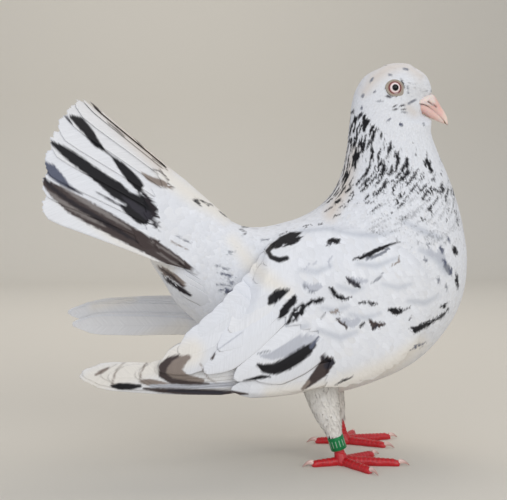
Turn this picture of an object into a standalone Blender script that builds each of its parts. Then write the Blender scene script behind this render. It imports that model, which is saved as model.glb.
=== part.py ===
"""A standing oriental roller pigeon, life size, parted where a person would name its pieces.

Lengths in this file are in millimetres until MM turns them into metres. X points to the bill, Y to the
bird's left and Z up. The side outline is drawn in the X Z plane of the bird's own middle.
"""

import math

import bmesh
import bpy
import numpy as np
from mathutils import Vector

MM = 0.001
GAP = 0.3                     # clearance that touching pieces keep
HALF_GAP = GAP / 2
VANE_EDGE = 0.5               # thickness of a feather at its edge
VANE_SHAFT = 0.62             # thickness of a feather along its shaft

# Head and body: back point, breast point and half width of each cross-section, crown to rump.
SECTIONS = [
    ((80.0, 236.2), (98.5, 236.6), 7.2),
    ((69.5, 230.6), (107.0, 231.0), 12.0),
    ((63.6, 222.4), (112.4, 222.6), 14.2),
    ((60.8, 213.2), (113.2, 213.6), 14.9),
    ((59.8, 204.2), (110.6, 205.0), 15.3),
    ((58.8, 194.6), (110.2, 196.2), 16.0),
    ((57.4, 183.0), (114.0, 184.8), 18.4),
    ((54.4, 170.4), (119.6, 171.6), 22.4),
    ((48.6, 158.8), (125.0, 156.4), 28.0),
    ((39.6, 149.8), (129.4, 138.0), 34.2),
    ((28.2, 143.6), (131.8, 115.6), 38.6),
    ((16.4, 140.0), (128.0, 92.6), 41.0),
    ((6.6, 138.0), (116.4, 72.4), 42.0),
    ((-1.4, 137.6), (98.0, 55.0), 41.4),
    ((-7.0, 138.4), (72.0, 43.4), 39.6),
    ((-11.0, 140.0), (45.0, 37.4), 37.2),
    ((-14.2, 141.6), (18.0, 41.0), 34.0),
    ((-16.8, 143.4), (-5.0, 54.4), 31.0),
    ((-19.0, 145.4), (-22.0, 70.0), 28.6),
    ((-21.0, 147.4), (-37.0, 84.0), 26.6),
]
CROWN = (89.4, 238.2)
BODY_SIDES = 26
HEAD_FROM, NECK_FROM, TORSO_FROM, RUMP_FROM = 0, 5, 9, 16
LAST = len(SECTIONS) - 1

FLAT_SECTIONS = [(*back, *breast, wide) for back, breast, wide in SECTIONS]

# Bill: top or bottom profile, mouth line and half width of each cross-section, root to tip.
UPPER_BILL = [
    ((106.5, 219.6), (103.2, 214.4), 4.0),
    ((111.4, 219.0), (106.8, 212.3), 4.5),
    ((114.6, 216.2), (110.3, 210.0), 4.0),
    ((116.9, 213.0), (113.4, 208.0), 2.9),
    ((119.2, 209.8), (116.2, 205.9), 2.3),
    ((121.0, 206.4), (118.6, 203.8), 1.7),
    ((121.8, 203.4), (120.3, 202.2), 0.9),
]
UPPER_TIP = (121.6, 200.9)
LOWER_BILL = [
    ((105.4, 208.4), (103.2, 214.0), 3.7),
    ((109.4, 206.2), (106.6, 211.8), 3.9),
    ((112.6, 204.9), (110.1, 209.5), 3.3),
    ((114.8, 203.8), (113.1, 207.6), 2.5),
    ((116.8, 202.9), (115.9, 205.5), 1.8),
    ((118.6, 202.1), (118.2, 203.4), 1.0),
]
LOWER_TIP = (119.7, 201.9)
BILL_CORNERS = 9
EYE_SPOT = (83.4, 221.0)
EYE_RADIUS = 5.0
EYE_OUT = 10.2
LID_RADIUS = 4.55
LID_THICK = 0.75
LID_OUT = 13.5
NOSTRIL = (112.4, 3.9, 212.0)
NOSTRIL_SIZE = (1.7, 0.9, 0.42)

# Side surface of the folded wing: distance from the bird's middle at each x, for the heights WING_LEVELS.
WING_LEVELS = (140.0, 115.0, 92.0, 68.0, 45.0)
WING_SIDE = [
    (104.0, (24.0, 32.0, 32.0, 22.0, 8.0)),
    (85.0, (31.0, 41.8, 41.4, 37.5, 25.0)),
    (65.0, (32.0, 43.8, 44.4, 42.4, 32.0)),
    (40.0, (27.0, 42.8, 45.2, 44.4, 36.0)),
    (15.0, (16.0, 39.0, 44.6, 46.0, 40.0)),
    (-5.0, (15.0, 37.0, 44.0, 46.4, 42.0)),
    (-20.0, (18.0, 36.0, 43.5, 46.4, 43.5)),
    (-40.0, (22.0, 35.0, 42.5, 45.5, 43.5)),
    (-70.0, (24.0, 34.0, 39.5, 42.0, 40.5)),
    (-100.0, (24.0, 31.0, 36.0, 38.5, 37.5)),
]
# Solid part of the folded wing, under its feathers: upper and lower edge at each x.
WING_OUTLINE = [
    (99.0, 107.0, 92.0),
    (90.0, 120.0, 77.0),
    (76.0, 130.0, 63.5),
    (56.0, 134.5, 54.6),
    (36.0, 135.0, 50.0),
    (16.0, 132.0, 48.0),
    (2.0, 124.0, 47.2),
    (-9.0, 101.0, 47.2),
    (-20.0, 86.0, 47.6),
    (-34.0, 75.0, 48.6),
]
WING_ROWS = (0.0, 0.05, 0.2, 0.4, 0.6, 0.8, 0.95, 1.0)
WING_RIM_DROP = 2.2
WING_DEEP = 14.0
BLADE = 1.2
WING_SHOULDER_RISE = 3.7
LEFT_WING_RISE = 25.0         # the left wing's rear is carried this much higher
LEFT_WING_BACK = 10.0
LEFT_WING_FROM = 25.0
LEFT_WING_RISE_REACH = 62.0
LEFT_WING_BACK_REACH = 125.0
LEFT_WING_LEVELS = (70.0, 132.0)

# Feathers: shares of length, and of full width, at which a vane's cross-sections lie.
LONG_VANE = ((0.0, 0.34), (0.24, 0.88), (0.8, 0.98), (0.94, 0.66), (1.0, 0.26))
SHORT_VANE = ((0.0, 0.34), (0.3, 0.9), (0.8, 0.94), (1.0, 0.34))
VANE_RISE_BY = 0.24           # share of the length in which a feather leaves the wing's solid part
ROOT_SINK = 1.2

# Primaries of the right wing, the outermost first: x of the tip, height of the tip, x and height of the root.
PRIMARIES = [(-99.5, 57.6, -4.0, 51.5), (-93.5, 60.0, -3.0, 54.5), (-84.0, 57.2, -1.0, 56.5),
             (-71.0, 60.0, 1.0, 59.5), (-61.0, 63.4, 3.0, 63.0), (-53.0, 67.2, 5.0, 67.0)]
PRIMARY_WIDE = 17.0
PRIMARY_LOW = 0.5
PRIMARY_STEP = 0.92
PRIMARY_SLOPE = 0.012

# Secondaries and inner feathers, lowest first.
SECONDARIES = [(-41.0, 59.5, 20.0, 66.0), (-43.0, 66.5, 19.0, 76.5), (-41.5, 73.5, 17.0, 87.0),
               (-35.5, 80.5, 16.0, 97.0), (-26.5, 88.5, 17.0, 106.5), (-16.5, 98.0, 20.0, 115.0),
               (-7.0, 108.5, 25.0, 122.0), (1.0, 119.5, 32.0, 128.0)]
SECONDARY_WIDE = 17.5
SECONDARY_PITCH = 8.6
SECONDARY_HIGH = 9.55
SECONDARY_DROP = 0.9          # the uppermost ones lie closer to the back
TIER_SLOPE = 0.13             # how fast the feathers of a tier come off the body on their way back
STACK = 1.06                  # how far a feather of a tier lies above the next lower one
# Three tiers of coverts: number, x and height of the lowest tip, steps to the next, root offset, width, rise.
COVERTS = [
    (6, -13.0, 58.0, 4.6, 11.2, 40.0, 9.0, 18.5, 8.8),
    (6, 15.0, 56.5, 3.4, 11.8, 36.0, 7.0, 18.5, 7.8),
    (5, 43.0, 60.5, 2.0, 13.0, 33.0, 4.0, 20.0, 6.8),
]

# Tail: an arched fan. Root point of its ridge, slope of the ridge, half widths and depths at root and end.
TAIL_ROOT = (-20.0, 144.2)
TAIL_SLOPE = math.radians(39.5)
TAIL_HALF_WIDTH = (28.5, 44.0)
TAIL_DEPTH = (54.0, 63.5)
TAIL_REACH = (1.18, 1.50)
TAIL_LONG = 101.0
TAIL_AXIS = Vector((-math.cos(TAIL_SLOPE), 0, math.sin(TAIL_SLOPE)))
TAIL_UP = Vector((math.sin(TAIL_SLOPE), 0, math.cos(TAIL_SLOPE)))
TAIL_PAIRS = 8
TAIL_PITCH_RISE = 1.0         # how far one tail feather lies above the next one out
TAIL_WIDE_PITCHES = 2.5
TAIL_NARROW_PITCHES = 1.9     # those beside the ridge stop short of each other
TAIL_RIDGE_LIFT = 1.5
TAIL_LOW = 1.5
TAIL_ROOT_SINK = 2.6
TAIL_ROOT_BACK = 12.0
TAIL_TIP_SWELL = 4.5          # middle feathers of each side reach this much further than the ridge's
TAIL_TIP_DROP = 20.0
TAIL_SHAPE = ((0.0, 0.36), (0.25, 0.86), (0.84, 1.0), (0.955, 0.7), (1.0, 0.3))
TAIL_COVERT_PAIRS = 3
TAIL_COVERT_LONG = 46.0
TAIL_COVERT_STEP = 2.1        # pitches from one covert to the next
TAIL_COVERT_PITCHES = 2.3
TAIL_COVERT_HIGH = 5.4

# Solid part under the tail's coverts: upper point, lower point and half width.
TAIL_CORE = [
    (*SECTIONS[-1][0], *SECTIONS[-1][1], SECTIONS[-1][2]),
    (-30.0, 154.4, -46.0, 92.6, 26.6),
    (-43.0, 164.4, -60.0, 105.0, 26.0),
    (-57.0, 175.4, -73.0, 122.0, 22.0),
    (-69.0, 183.8, -83.0, 146.0, 15.0),
]
TAIL_CORE_END = Vector((-83.0, 0, 171.0))
TAIL_CORE_FULL = 0.72

# Legs: each leg's foot stands at FOOT, and its parts are given from there.
FOOT = {"right": (48.4, -24.0), "left": (62.0, 24.0)}
THIGH = [
    (-11.5, 4.0, 60.0, 13.0, 10.5),
    (-9.5, 3.0, 50.0, 12.4, 10.0),
    (-7.6, 2.2, 41.0, 11.2, 9.4),
    (-6.2, 1.6, 32.0, 9.4, 8.2),
    (-5.4, 1.0, 25.0, 7.2, 6.6),
    (-5.0, 0.7, 20.6, 5.2, 5.0),
]
THIGH_SIDES = 18
TARSUS_SIDES = 12
HUB = [(0.4, 0.0, 0.0, 4.7, 4.4), (0.2, 0.0, 1.6, 5.4, 5.0), (0.0, 0.0, 3.6, 5.2, 4.8),
       (-0.6, 0.1, 5.6, 4.2, 3.9)]
SHANK_FROM = (-1.2, 0.2, 7.2)
SHANK_TO = (-5.0, 0.7, 20.6 - GAP)
SHANK_RADIUS = 2.9
SHANK_SCUTES = 5
SCUTE_STEP = 0.3
BAND_CENTRE = (-2.9, 0.4, 12.9)
BAND_RADIUS = 4.25
BAND_THICK = 0.5
BAND_TALL = 4.2
BAND_LEAN = (-0.30, 0.0, 0.95)

# Toes: direction from straight ahead, towards the bird's outer side, length and radius at root and end.
TOES = {"inner": (-33.0, 24.0, 2.7, 2.0), "middle": (13.0, 30.0, 3.0, 2.1),
        "outer": (62.0, 21.0, 2.7, 2.0), "hind": (172.0, 15.5, 2.6, 2.0)}
TOE_SIDES = 8
TOE_FROM = 3.0
TOE_SOLE = 0.55
SCUTE_LONG = 5.0
CLAW_LONG = 5.2
CLAW_DROP = 0.55
SKIN = (0.86, 0.86, 0.87)
HORN = (0.78, 0.55, 0.50)
RED = (0.55, 0.03, 0.03)
CLAW = (0.72, 0.52, 0.47)
IRIS = (0.80, 0.72, 0.70)
GREEN = (0.02, 0.33, 0.14)


def spline(values, t):
    """Catmull-Rom value at t, counted in sections."""
    points = [np.array(v, float) for v in values]
    i = min(max(int(math.floor(t)), 0), len(points) - 2)
    f = t - i
    before = points[i - 1] if i else 2 * points[0] - points[1]
    after = points[i + 2] if i + 2 < len(points) else 2 * points[-1] - points[-2]
    a, b = points[i], points[i + 1]
    return 0.5 * (2 * a + (b - before) * f + (2 * before - 5 * a + 4 * b - after) * f * f
                  + (3 * a - before - 3 * b + after) * f ** 3)


def body_ring(t, inflate=0.0, along=0.0, sides=BODY_SIDES):
    """Points of one cross-section, from the back round by the bird's right side."""
    bx, bz, vx, vz, wide = spline(FLAT_SECTIONS, t)
    back, breast = Vector((bx, 0, bz)), Vector((vx, 0, vz))
    middle, half = (back + breast) / 2, (back - breast) / 2
    up = half.normalized()
    onward = Vector((-up.z, 0, up.x)) * along
    tall = half.length + inflate
    points = []
    for k in range(sides):
        angle = 2 * math.pi * k / sides
        points.append(middle + onward + up * tall * math.cos(angle)
                      + Vector((0, -(wide + inflate) * math.sin(angle), 0)))
    return points


def mesh_object(name, points, faces):
    mesh = bpy.data.meshes.new(name)
    mesh.from_pydata([tuple(p * MM for p in point) for point in points], [], faces)
    mesh.update()
    made = bpy.data.objects.new(name, mesh)
    bpy.context.scene.collection.objects.link(made)
    return made


def loft(name, rings, start=None, end=None):
    """Closed skin over rings of equal count. A pole point closes an end where given, else a flat cap."""
    sides = len(rings[0])
    points = [p for ring in rings for p in ring]
    faces = []
    for i in range(len(rings) - 1):
        for k in range(sides):
            after = (k + 1) % sides
            a, b, c, d = i * sides + k, i * sides + after, (i + 1) * sides + after, (i + 1) * sides + k
            faces.extend(((a, b, c), (a, c, d)))
    for pole, row in ((start, 0), (end, len(rings) - 1)):
        first = row * sides
        loop = [(first + (k + 1) % sides, first + k) for k in range(sides)]
        if row:
            loop = [(b, a) for a, b in loop]
        if pole is None:
            corners = list(range(first, first + sides))
            faces.append(corners if row else corners[::-1])
        else:
            points.append(pole)
            faces.extend((a, b, len(points) - 1) for a, b in loop)
    made = mesh_object(name, points, faces)
    face_out(made)
    return made


def face_out(made):
    """Turns every face outwards."""
    work = bmesh.new()
    work.from_mesh(made.data)
    bmesh.ops.recalc_face_normals(work, faces=work.faces)
    if work.calc_volume(signed=True) < 0:
        bmesh.ops.reverse_faces(work, faces=work.faces)
    work.to_mesh(made.data)
    work.free()


def keep_largest(made):
    """Leaves one closed surface, which drops scraps and fills sealed hollows."""
    work = bmesh.new()
    work.from_mesh(made.data)
    unseen, groups = set(work.verts), []
    while unseen:
        front = [unseen.pop()]
        group = set(front)
        while front:
            for edge in front.pop().link_edges:
                for vert in edge.verts:
                    if vert in unseen:
                        unseen.discard(vert)
                        group.add(vert)
                        front.append(vert)
        groups.append(group)
    largest = max(groups, key=len)
    bmesh.ops.delete(work, geom=[v for v in work.verts if v not in largest], context="VERTS")
    work.to_mesh(made.data)
    work.free()


def combine(made, others, operation, solver="MANIFOLD"):
    """Applies one Boolean of a collection of closed meshes to made, then removes them."""
    group = bpy.data.collections.new(made.name + "_pieces")
    bpy.context.scene.collection.children.link(group)
    for other in others:
        for home in list(other.users_collection):
            home.objects.unlink(other)
        group.objects.link(other)
    modifier = made.modifiers.new("combine", "BOOLEAN")
    modifier.operation = operation
    modifier.operand_type = "COLLECTION"
    modifier.collection = group
    modifier.solver = solver
    bpy.context.view_layer.update()
    result = bpy.data.meshes.new_from_object(made.evaluated_get(bpy.context.evaluated_depsgraph_get()))
    made.modifiers.clear()
    made.data = result
    for other in others:
        bpy.data.objects.remove(other)
    bpy.data.collections.remove(group)
    keep_largest(made)
    return made


def finish(made, colour, roughness=0.7, metallic=0.0, smooth_angle=40.0):
    material = bpy.data.materials.new(made.name)
    material.use_nodes = True
    shader = material.node_tree.nodes["Principled BSDF"]
    shader.inputs["Base Color"].default_value = (*colour, 1.0)
    shader.inputs["Roughness"].default_value = roughness
    shader.inputs["Metallic"].default_value = metallic
    made.data.materials.clear()
    made.data.materials.append(material)
    made.data.shade_smooth()
    made.data.set_sharp_from_angle(angle=math.radians(smooth_angle))
    return made


def body_steps(first, last, step):
    count = max(1, round((last - first) / step))
    return [first + (last - first) * i / count for i in range(count + 1)]


def body_piece(name, first, last, step, inflate=0.0, start=None, sides=BODY_SIDES):
    """One length of the body between two cross-sections, with half a gap left at each flat end."""
    rings = []
    for t in body_steps(first, last, step):
        along = 0.0
        if t == first and start is None and first > 0:
            along = HALF_GAP
        if t == last and last < LAST:
            along = -HALF_GAP
        rings.append(body_ring(t, inflate, along, sides))
    return loft(name, rings, start)


def revolve_rings(stations, sides):
    """Rings of ellipses lying level. A station is centre x, y, z and the two radii."""
    rings = []
    for x, y, z, rx, ry in stations:
        rings.append([Vector((x + rx * math.cos(2 * math.pi * k / sides),
                              y + ry * math.sin(2 * math.pi * k / sides), z)) for k in range(sides)])
    return rings


def ball(name, centre, radii, sides=16, rows=8):
    """Closed ellipsoid with its poles along Y."""
    rings = []
    for i in range(1, rows):
        a = math.pi * i / rows
        ring = []
        for k in range(sides):
            b = 2 * math.pi * k / sides
            ring.append(Vector((centre[0] + radii[0] * math.sin(a) * math.cos(b),
                                centre[1] + radii[1] * math.cos(a),
                                centre[2] + radii[2] * math.sin(a) * math.sin(b))))
        rings.append(ring)
    poles = [Vector((centre[0], centre[1] + side * radii[1], centre[2])) for side in (1, -1)]
    return loft(name, rings, poles[0], poles[1])


def hoop(name, centre, axis, radius, thick, tall, sides=20, corners=6):
    """Closed ring round an axis with an oval section."""
    axis = Vector(axis).normalized()
    across = axis.orthogonal().normalized()
    other = axis.cross(across)
    points, faces = [], []
    for i in range(sides):
        a = 2 * math.pi * i / sides
        out = across * math.cos(a) + other * math.sin(a)
        for k in range(corners):
            b = 2 * math.pi * k / corners
            points.append(Vector(centre) + out * (radius + thick * math.cos(b)) + axis * tall * math.sin(b))
    for i in range(sides):
        for k in range(corners):
            a, b = i * corners, ((i + 1) % sides) * corners
            k2 = (k + 1) % corners
            faces.append((a + k, b + k, b + k2, a + k2))
    made = mesh_object(name, points, faces)
    face_out(made)
    return made


def bill_half(name, stations, tip, inflate=0.0):
    rings = []
    for (px, pz), (mx, mz), wide in stations:
        profile, mouth = Vector((px, 0, pz)), Vector((mx, 0, mz))
        rise = profile - mouth
        up = rise.normalized()
        ring = []
        for k in range(BILL_CORNERS):
            a = math.pi * k / (BILL_CORNERS - 1)
            tall = (rise.length + inflate) * math.sin(a) ** 0.85 if 0 < k < BILL_CORNERS - 1 else -inflate
            ring.append(mouth + up * tall + Vector((0, (wide + inflate) * math.cos(a), 0)))
        rings.append(ring)
    end = Vector((tip[0], 0, tip[1]))
    end += (end - rings[-1][0]).normalized() * inflate
    return loft(name, rings, None, end)


def cubic(values, t):
    return spline([(v,) for v in values], t)[0]


def ease(t):
    """Smooth step from 0 to 1."""
    t = min(max(t, 0.0), 1.0)
    return t * t * (3 - 2 * t)


def wing_out(x, z):
    """Distance of the folded wing's surface from the bird's middle."""
    stations = [s[0] for s in WING_SIDE]
    x = min(max(x, stations[-1]), stations[0])
    i = 0
    while i < len(stations) - 2 and x < stations[i + 1]:
        i += 1
    t = i + (stations[i] - x) / (stations[i] - stations[i + 1])
    z = min(max(z, WING_LEVELS[-1] - 10), WING_LEVELS[0])
    j = 0
    while j < len(WING_LEVELS) - 2 and z < WING_LEVELS[j + 1]:
        j += 1
    u = j + (WING_LEVELS[j] - z) / (WING_LEVELS[j] - WING_LEVELS[j + 1])
    return cubic([cubic(s[1], u) for s in WING_SIDE], t)


def wing_point(side, x, z, high):
    """Point above the wing's surface. Side is -1 for the right wing and 1 for the left one."""
    here = wing_out(x, z)
    step = 2.0
    slope_x = (wing_out(x + step, z) - wing_out(x - step, z)) / (2 * step)
    slope_z = (wing_out(x, z + step) - wing_out(x, z - step)) / (2 * step)
    out = Vector((-slope_x, 1.0, -slope_z)).normalized()
    p = Vector((x, here, z)) + out * high
    if side > 0:
        low, top = LEFT_WING_LEVELS
        back = LEFT_WING_FROM - p.x
        p.z += LEFT_WING_RISE * ease(back / LEFT_WING_RISE_REACH) * (1 - ease((p.z - low) / (top - low)))
        p.x -= LEFT_WING_BACK * ease(back / LEFT_WING_BACK_REACH)
    p.y *= side
    return p


def wing_depth(x):
    """Thickness of the wing's solid part, deep by the body and thin behind it."""
    return BLADE + (WING_DEEP - BLADE) * min(max((x + 14.0) / 12.0, 0.0), 1.0)


def wing_pad_rise(x, z):
    """The solid part is fuller under the wing's upper feathers, which no primaries lift."""
    back = min(max((24.0 - x) / 30.0, 0.0), 1.0)
    return WING_SHOULDER_RISE * back * ease((z - 76.0) / 14.0) * (1 - 0.65 * ease((z - 98.0) / 24.0))


def wing_core(name, side):
    rings = []
    for x, top, bottom in WING_OUTLINE:
        levels = [top + (bottom - top) * q for q in WING_ROWS]
        ends = (levels[0], levels[-1])
        outer = [wing_point(side, x, z, wing_pad_rise(x, z) - WING_RIM_DROP * (z in ends and x > -20))
                 for z in levels]
        inner = [wing_point(side, x, z, -wing_depth(x) - WING_RIM_DROP * (x > -20)) for z in reversed(levels)]
        rings.append(outer + inner)
    return loft(name, rings)


def vane(point, root, tip, wide, shape, rise, tilt=0.0):
    """One feather as a closed sheet over a surface.

    Point maps two coordinates of the surface and a height to a place. Rise gives the height at a share of
    the length. Tilt lifts one edge and lowers the other.
    """
    root, tip = Vector(root), Vector(tip)
    along = tip - root
    across = Vector((-along.y, along.x)).normalized()
    points, faces = [], []
    for t, share in shape:
        spot = root + along * t
        for top in (True, False):
            for j in (-1, 0, 1):
                offset = j * wide * share / 2
                high = rise(t) + tilt * offset
                if top:
                    high += VANE_EDGE if j else VANE_SHAFT
                here = spot + across * offset
                points.append(point(here.x, here.y, high))
    for i in range(len(shape) - 1):
        a, b = 6 * i, 6 * (i + 1)
        for p, q in ((0, 1), (1, 2)):
            faces.extend(((a + p, a + q, b + q), (a + p, b + q, b + p)))
            faces.extend(((a + 3 + q, a + 3 + p, b + 3 + q), (a + 3 + p, b + 3 + p, b + 3 + q)))
        faces.extend(((a + 3, a, b), (a + 3, b, b + 3)))
        faces.extend(((a + 2, a + 5, b + 5), (a + 2, b + 5, b + 2)))
    last = 6 * (len(shape) - 1)
    for p, q in ((0, 1), (1, 2)):
        faces.extend(((q, p, 3 + p), (q, 3 + p, 3 + q)))
        faces.extend(((last + p, last + q, last + 3 + q), (last + p, last + 3 + q, last + 3 + p)))
    made = mesh_object("vane", points, faces)
    face_out(made)
    return made


def wing_vanes(side):
    def point(x, z, high):
        return wing_point(side, x, z, high)

    def tier(length, high, slope):
        leave = high - slope * length * (1 - VANE_RISE_BY)
        return lambda t: (-ROOT_SINK + (leave + ROOT_SINK) * t / VANE_RISE_BY if t < VANE_RISE_BY
                          else high - slope * length * (1 - t))

    vanes = []
    for k, (tx, tz, rx, rz) in enumerate(PRIMARIES):
        high = PRIMARY_LOW + PRIMARY_STEP * k
        rise = tier(math.hypot(tx - rx, tz - rz), high + 0.4, PRIMARY_SLOPE)
        vanes.append(vane(point, (rx, rz), (tx, tz), PRIMARY_WIDE, LONG_VANE, rise))
    for k, (tx, tz, rx, rz) in enumerate(SECONDARIES):
        high = SECONDARY_HIGH - SECONDARY_DROP * max(k - 4, 0)
        rise = tier(math.hypot(tx - rx, tz - rz), high, TIER_SLOPE)
        vanes.append(vane(point, (rx, rz), (tx, tz), SECONDARY_WIDE, LONG_VANE, rise,
                          STACK / SECONDARY_PITCH))
    for count, x, z, step_x, step_z, root_x, root_z, wide, high in COVERTS:
        for k in range(count):
            tip = (x + step_x * k, z + step_z * k)
            root = (tip[0] + root_x, tip[1] + root_z)
            rise = tier(math.hypot(root_x, root_z), high, TIER_SLOPE)
            vanes.append(vane(point, root, tip, wide, SHORT_VANE, rise, STACK / step_z))
    return vanes


def tail_point(along, pitches, high):
    """Point above the arch, a number of feather pitches from its ridge towards the bird's left."""
    f = along / TAIL_LONG
    angle = pitches / TAIL_PAIRS * (TAIL_REACH[0] + (TAIL_REACH[1] - TAIL_REACH[0]) * f)
    wide = TAIL_HALF_WIDTH[0] + (TAIL_HALF_WIDTH[1] - TAIL_HALF_WIDTH[0]) * f + high
    deep = TAIL_DEPTH[0] + (TAIL_DEPTH[1] - TAIL_DEPTH[0]) * f
    ridge = Vector((TAIL_ROOT[0], 0, TAIL_ROOT[1])) + TAIL_AXIS * along
    side = Vector((0, wide * math.sin(angle), 0))
    return ridge + side + TAIL_UP * (high * math.cos(angle) - deep * (1 - math.cos(angle)))


def tail_core(name):
    rings = []
    for i, (ax, az, bx, bz, wide) in enumerate(TAIL_CORE):
        upper, lower = Vector((ax, 0, az)), Vector((bx, 0, bz))
        middle, half = (upper + lower) / 2, (upper - lower) / 2
        onward = Vector((-half.z, 0, half.x)).normalized() * (0 if i else GAP)
        full = TAIL_CORE_FULL if i else 1.0
        ring = []
        for k in range(BODY_SIDES):
            c = math.cos(2 * math.pi * k / BODY_SIDES)
            s = math.sin(2 * math.pi * k / BODY_SIDES)
            s = math.copysign(abs(s) ** (full if c < 0 else 1.0), s)
            ring.append(middle + onward + half * c - Vector((0, wide * s, 0)))
        rings.append(ring)
    return loft(name, rings, None, TAIL_CORE_END)


def tail_vanes():
    def over(centre, step=1.0):
        return lambda along, pitches, high: tail_point(
            along, pitches, high + TAIL_PITCH_RISE * (abs(pitches) - abs(centre)) / step * bool(centre))

    def rise(low):
        return lambda t: low if t > VANE_RISE_BY else -TAIL_ROOT_SINK + (low + TAIL_ROOT_SINK) * t / VANE_RISE_BY

    vanes = []
    for k in range(-TAIL_PAIRS, TAIL_PAIRS + 1):
        out = abs(k) / TAIL_PAIRS
        root = 4.0 - TAIL_ROOT_BACK * out
        tip = TAIL_LONG + TAIL_TIP_SWELL * math.sin(math.pi * out ** 0.8) - TAIL_TIP_DROP * out ** 3
        wide = TAIL_NARROW_PITCHES if abs(k) == 1 else TAIL_WIDE_PITCHES
        low = TAIL_LOW + TAIL_RIDGE_LIFT * (k == 0)
        vanes.append(vane(over(k), (root, k), (tip, k), wide, TAIL_SHAPE, rise(low)))
    for k in range(-TAIL_COVERT_PAIRS, TAIL_COVERT_PAIRS + 1):
        centre = k * TAIL_COVERT_STEP
        wide = TAIL_COVERT_STEP * (TAIL_NARROW_PITCHES if abs(k) == 1 else TAIL_COVERT_PITCHES)
        root, tip = -2.0 - 2.0 * abs(k), TAIL_COVERT_LONG - 3.0 * abs(k)
        low = TAIL_COVERT_HIGH + TAIL_RIDGE_LIFT * (k == 0)
        vanes.append(vane(over(centre, TAIL_COVERT_STEP), (root, centre), (tip, centre), wide, SHORT_VANE,
                          rise(low)))
    return vanes


def place(side, offset):
    """Point of a leg from its offset. Offsets point outwards along the bird's side."""
    x, y = FOOT[side]
    out = -1 if side == "right" else 1
    return Vector((x + offset[0], y - out * offset[1], offset[2]))


def thigh(name, side, inflate=0.0):
    stations = []
    for row in THIGH:
        p = place(side, row[:3])
        stations.append((p.x, p.y, p.z, row[3] + inflate, row[4] + inflate))
    stations[-1] = (*stations[-1][:2], stations[-1][2] - inflate, *stations[-1][3:])
    return loft(name, revolve_rings(stations, THIGH_SIDES))


def tarsus(name, side, inflate=0.0, scuted=True):
    stations = []
    for row in HUB:
        p = place(side, row[:3])
        stations.append((p.x, p.y, p.z - inflate * (row[2] == 0), row[3] + inflate, row[4] + inflate))
    low, high = place(side, SHANK_FROM), place(side, SHANK_TO)
    for i in range(SHANK_SCUTES if scuted else 0):
        for share, grow in ((0.0, SCUTE_STEP / 2), (0.86, -SCUTE_STEP / 2)):
            p = low.lerp(high, (i + share) / SHANK_SCUTES)
            radius = SHANK_RADIUS + grow + inflate
            stations.append((p.x, p.y, p.z, radius, radius))
    stations.append((high.x, high.y, high.z, SHANK_RADIUS + 0.4 + inflate, SHANK_RADIUS + 0.4 + inflate))
    return loft(name, revolve_rings(stations, TARSUS_SIDES))


def toe_frame(side, toe):
    angle = math.radians(TOES[toe][0])
    out = -1 if side == "right" else 1
    ahead = Vector((math.cos(angle), out * math.sin(angle), 0))
    return ahead, Vector((-ahead.y, ahead.x, 0))


def toe_ring(centre, across, radius):
    """Cross-section of a toe with a flat sole on the ground."""
    ring = []
    for k in range(TOE_SIDES):
        a = math.pi * (1.5 + 2 * (k + 0.5) / TOE_SIDES)
        low = radius * TOE_SOLE
        z = max(low + radius * math.sin(a), 0.0)
        if math.sin(a) < -0.75:
            z = 0.0
        ring.append(centre + across * radius * math.cos(a) + Vector((0, 0, z)))
    return ring


def toe_piece(name, side, toe, inflate=0.0):
    ahead, across = toe_frame(side, toe)
    long, root, end = TOES[toe][1:]
    root, end = root + inflate, end + inflate
    start = place(side, (0, 0, -inflate)) + ahead * TOE_FROM
    rings = [toe_ring(start, across, root)]
    count = max(3, round(long / SCUTE_LONG))
    for i in range(count):
        for share, grow in ((0.12, SCUTE_STEP / 2), (0.86, -SCUTE_STEP / 2)):
            t = (i + share) / count
            rings.append(toe_ring(start + ahead * long * t, across, root + (end - root) * t + grow))
    rings.append(toe_ring(start + ahead * long, across, end * 0.8))
    return loft(name, rings)


def claw_piece(name, side, toe):
    ahead, across = toe_frame(side, toe)
    long, _, end = TOES[toe][1:]
    start = place(side, (0, 0, 0)) + ahead * (TOE_FROM + long + GAP)
    rings = []
    for t, radius in ((0.0, 1.25), (0.35, 1.05), (0.7, 0.65)):
        level = 2.1 - (2.1 - CLAW_DROP) * t * t
        centre = start + ahead * CLAW_LONG * t + Vector((0, 0, level))
        rings.append([centre + across * radius * 0.8 * math.cos(math.pi * k / 4)
                      + Vector((0, 0, radius * math.sin(math.pi * k / 4))) for k in range(8)])
    return loft(name, rings, None, start + ahead * CLAW_LONG + Vector((0, 0, 0.35)))


def clear_scene():
    for thing in list(bpy.data.objects):
        bpy.data.objects.remove(thing)


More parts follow.
